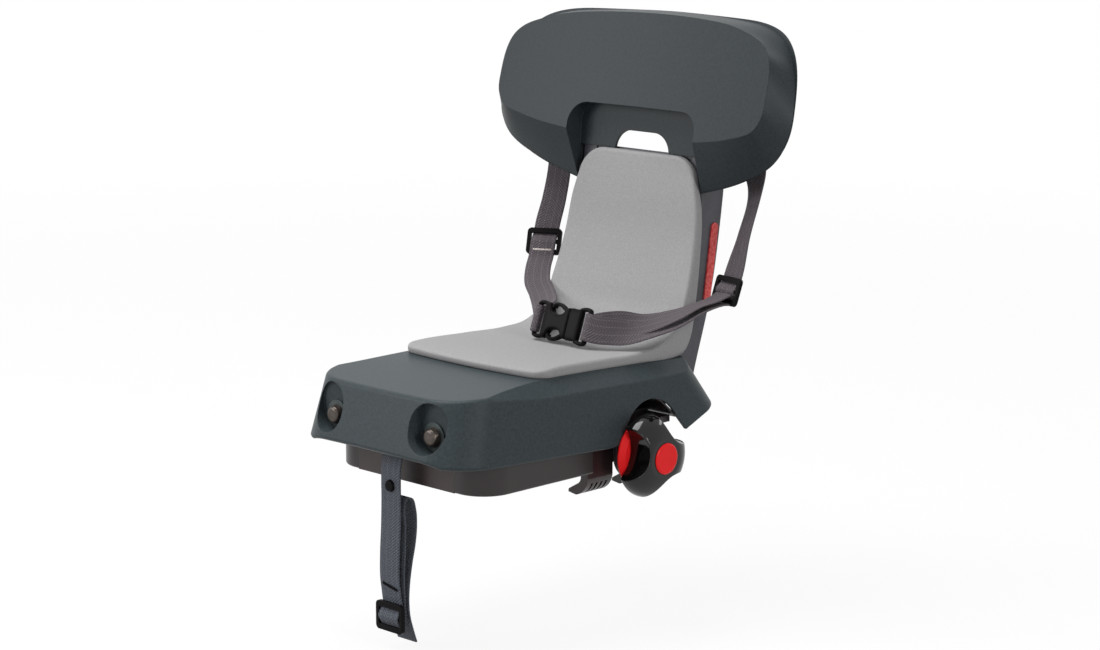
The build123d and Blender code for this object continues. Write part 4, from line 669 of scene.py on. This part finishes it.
pure_white = linear("#ffffff")
floor_z = cad_box[0][2] - 0.004
floor_half = 40.0
floor_corners = np.array([(-1, -1), (1, -1), (1, 1), (-1, 1)]) * floor_half
floor_mesh = bpy.data.meshes.new("floor")
floor_mesh.from_pydata(np.column_stack([floor_corners, np.full(4, floor_z)]).tolist(), [], [(0, 1, 2, 3)])
floor = bpy.data.objects.new("floor", floor_mesh)
bpy.context.scene.collection.objects.link(floor)
floor_paint, tree, shader = new_finish("white_floor_paint", {
    "Base Color": linear("#9c9c9c"), "Roughness": 0.9,
})
lit = put(tree, "ShaderNodeBsdfDiffuse", {"Color": pure_white})
white = put(tree, "ShaderNodeEmission", {"Color": pure_white, "Strength": 1.0})
place = put(tree, "ShaderNodeTexCoord").outputs["Object"]
reach = put(tree, "ShaderNodeVectorMath", {0: place}, operation="LENGTH").outputs["Value"]
shade_near, shade_far, shade_share = 0.8, 3.0, 0.1
shade = put(tree, "ShaderNodeMapRange", {
    "Value": reach, "From Min": shade_near, "From Max": shade_far, "To Min": shade_share, "To Max": 0.0,
}).outputs["Result"]
shown = put(tree, "ShaderNodeMixShader", {0: shade, 1: white.outputs[0], 2: lit.outputs[0]})
floor_mix = put(tree, "ShaderNodeMixShader", {0: seen_mask(tree), 1: shader.outputs[0], 2: shown.outputs[0]})
tree.links.new(floor_mix.outputs[0], tree.nodes["Material Output"].inputs["Surface"])
floor_mesh.materials.append(floor_paint)

sky_light = 0.22
world = bpy.data.worlds.new("studio")
bpy.context.scene.world = world
world.use_nodes = True
tree = world.node_tree
level = put(tree, "ShaderNodeMapRange", {"Value": seen_mask(tree), "To Min": sky_light, "To Max": 1.0})
sky = tree.nodes["Background"]
sky.inputs["Color"].default_value = pure_white
tree.links.new(level.outputs["Result"], sky.inputs["Strength"])


# Lamps: a large softbox at the front left and one above light the object, a strip on the right lights its
# side and a narrow one behind it the rim. Two small upright windows on the right show as glints in the knob.
def stand(name, data, place, aim):
    """Object of a lamp or camera at a place, turned to face a point."""
    made = bpy.data.objects.new(name, data)
    bpy.context.scene.collection.objects.link(made)
    made.location = place
    made.rotation_euler = (Vector(aim) - Vector(place)).to_track_quat("-Z", "Y").to_euler()
    return made


def softbox(name, place, aim, width, height, watts):
    """Rectangular area lamp at a place, turned to face a point."""
    lamp = bpy.data.lights.new(name, "AREA")
    lamp.shape = "RECTANGLE"
    lamp.size = width
    lamp.size_y = height
    lamp.energy = watts
    stand(name, lamp, place, aim)


softbox("key_light", (-1.4, -2.0, 1.0), (0.0, 0.0, 0.15), width=1.2, height=1.2, watts=27.5)
softbox("top_light", (-0.6, -0.4, 2.2), (0.0, 0.0, 0.1), width=1.4, height=1.4, watts=40)
softbox("rim_light", (0.7, 2.0, 1.9), (0.0, 0.0, 0.15), width=1.2, height=0.3, watts=6)
softbox("left_window", (1.05, -2.15, 0.5), (0.1, 0.0, 0.1), width=0.12, height=0.6, watts=2.4)
softbox("right_window", (2.1, -1.2, 0.55), (0.1, 0.0, 0.1), width=0.12, height=0.6, watts=2.0)
softbox("side_light", (2.4, -0.3, 1.0), (0.0, 0.0, 0.15), width=0.22, height=1.2, watts=17)


# Camera: at the photograph's angle, about 2.5 m off at the front right and a little above the seat, with a
# long lens. The colours are shown as written.
lens = bpy.data.cameras.new("camera")
lens.lens = 89.38
lens.sensor_width = 36.0
bpy.context.scene.camera = stand("camera", lens, (1.7233, -1.7293, 0.5877), (0.0, -0.006, 0.114))
bpy.context.scene.view_settings.view_transform = "Standard"
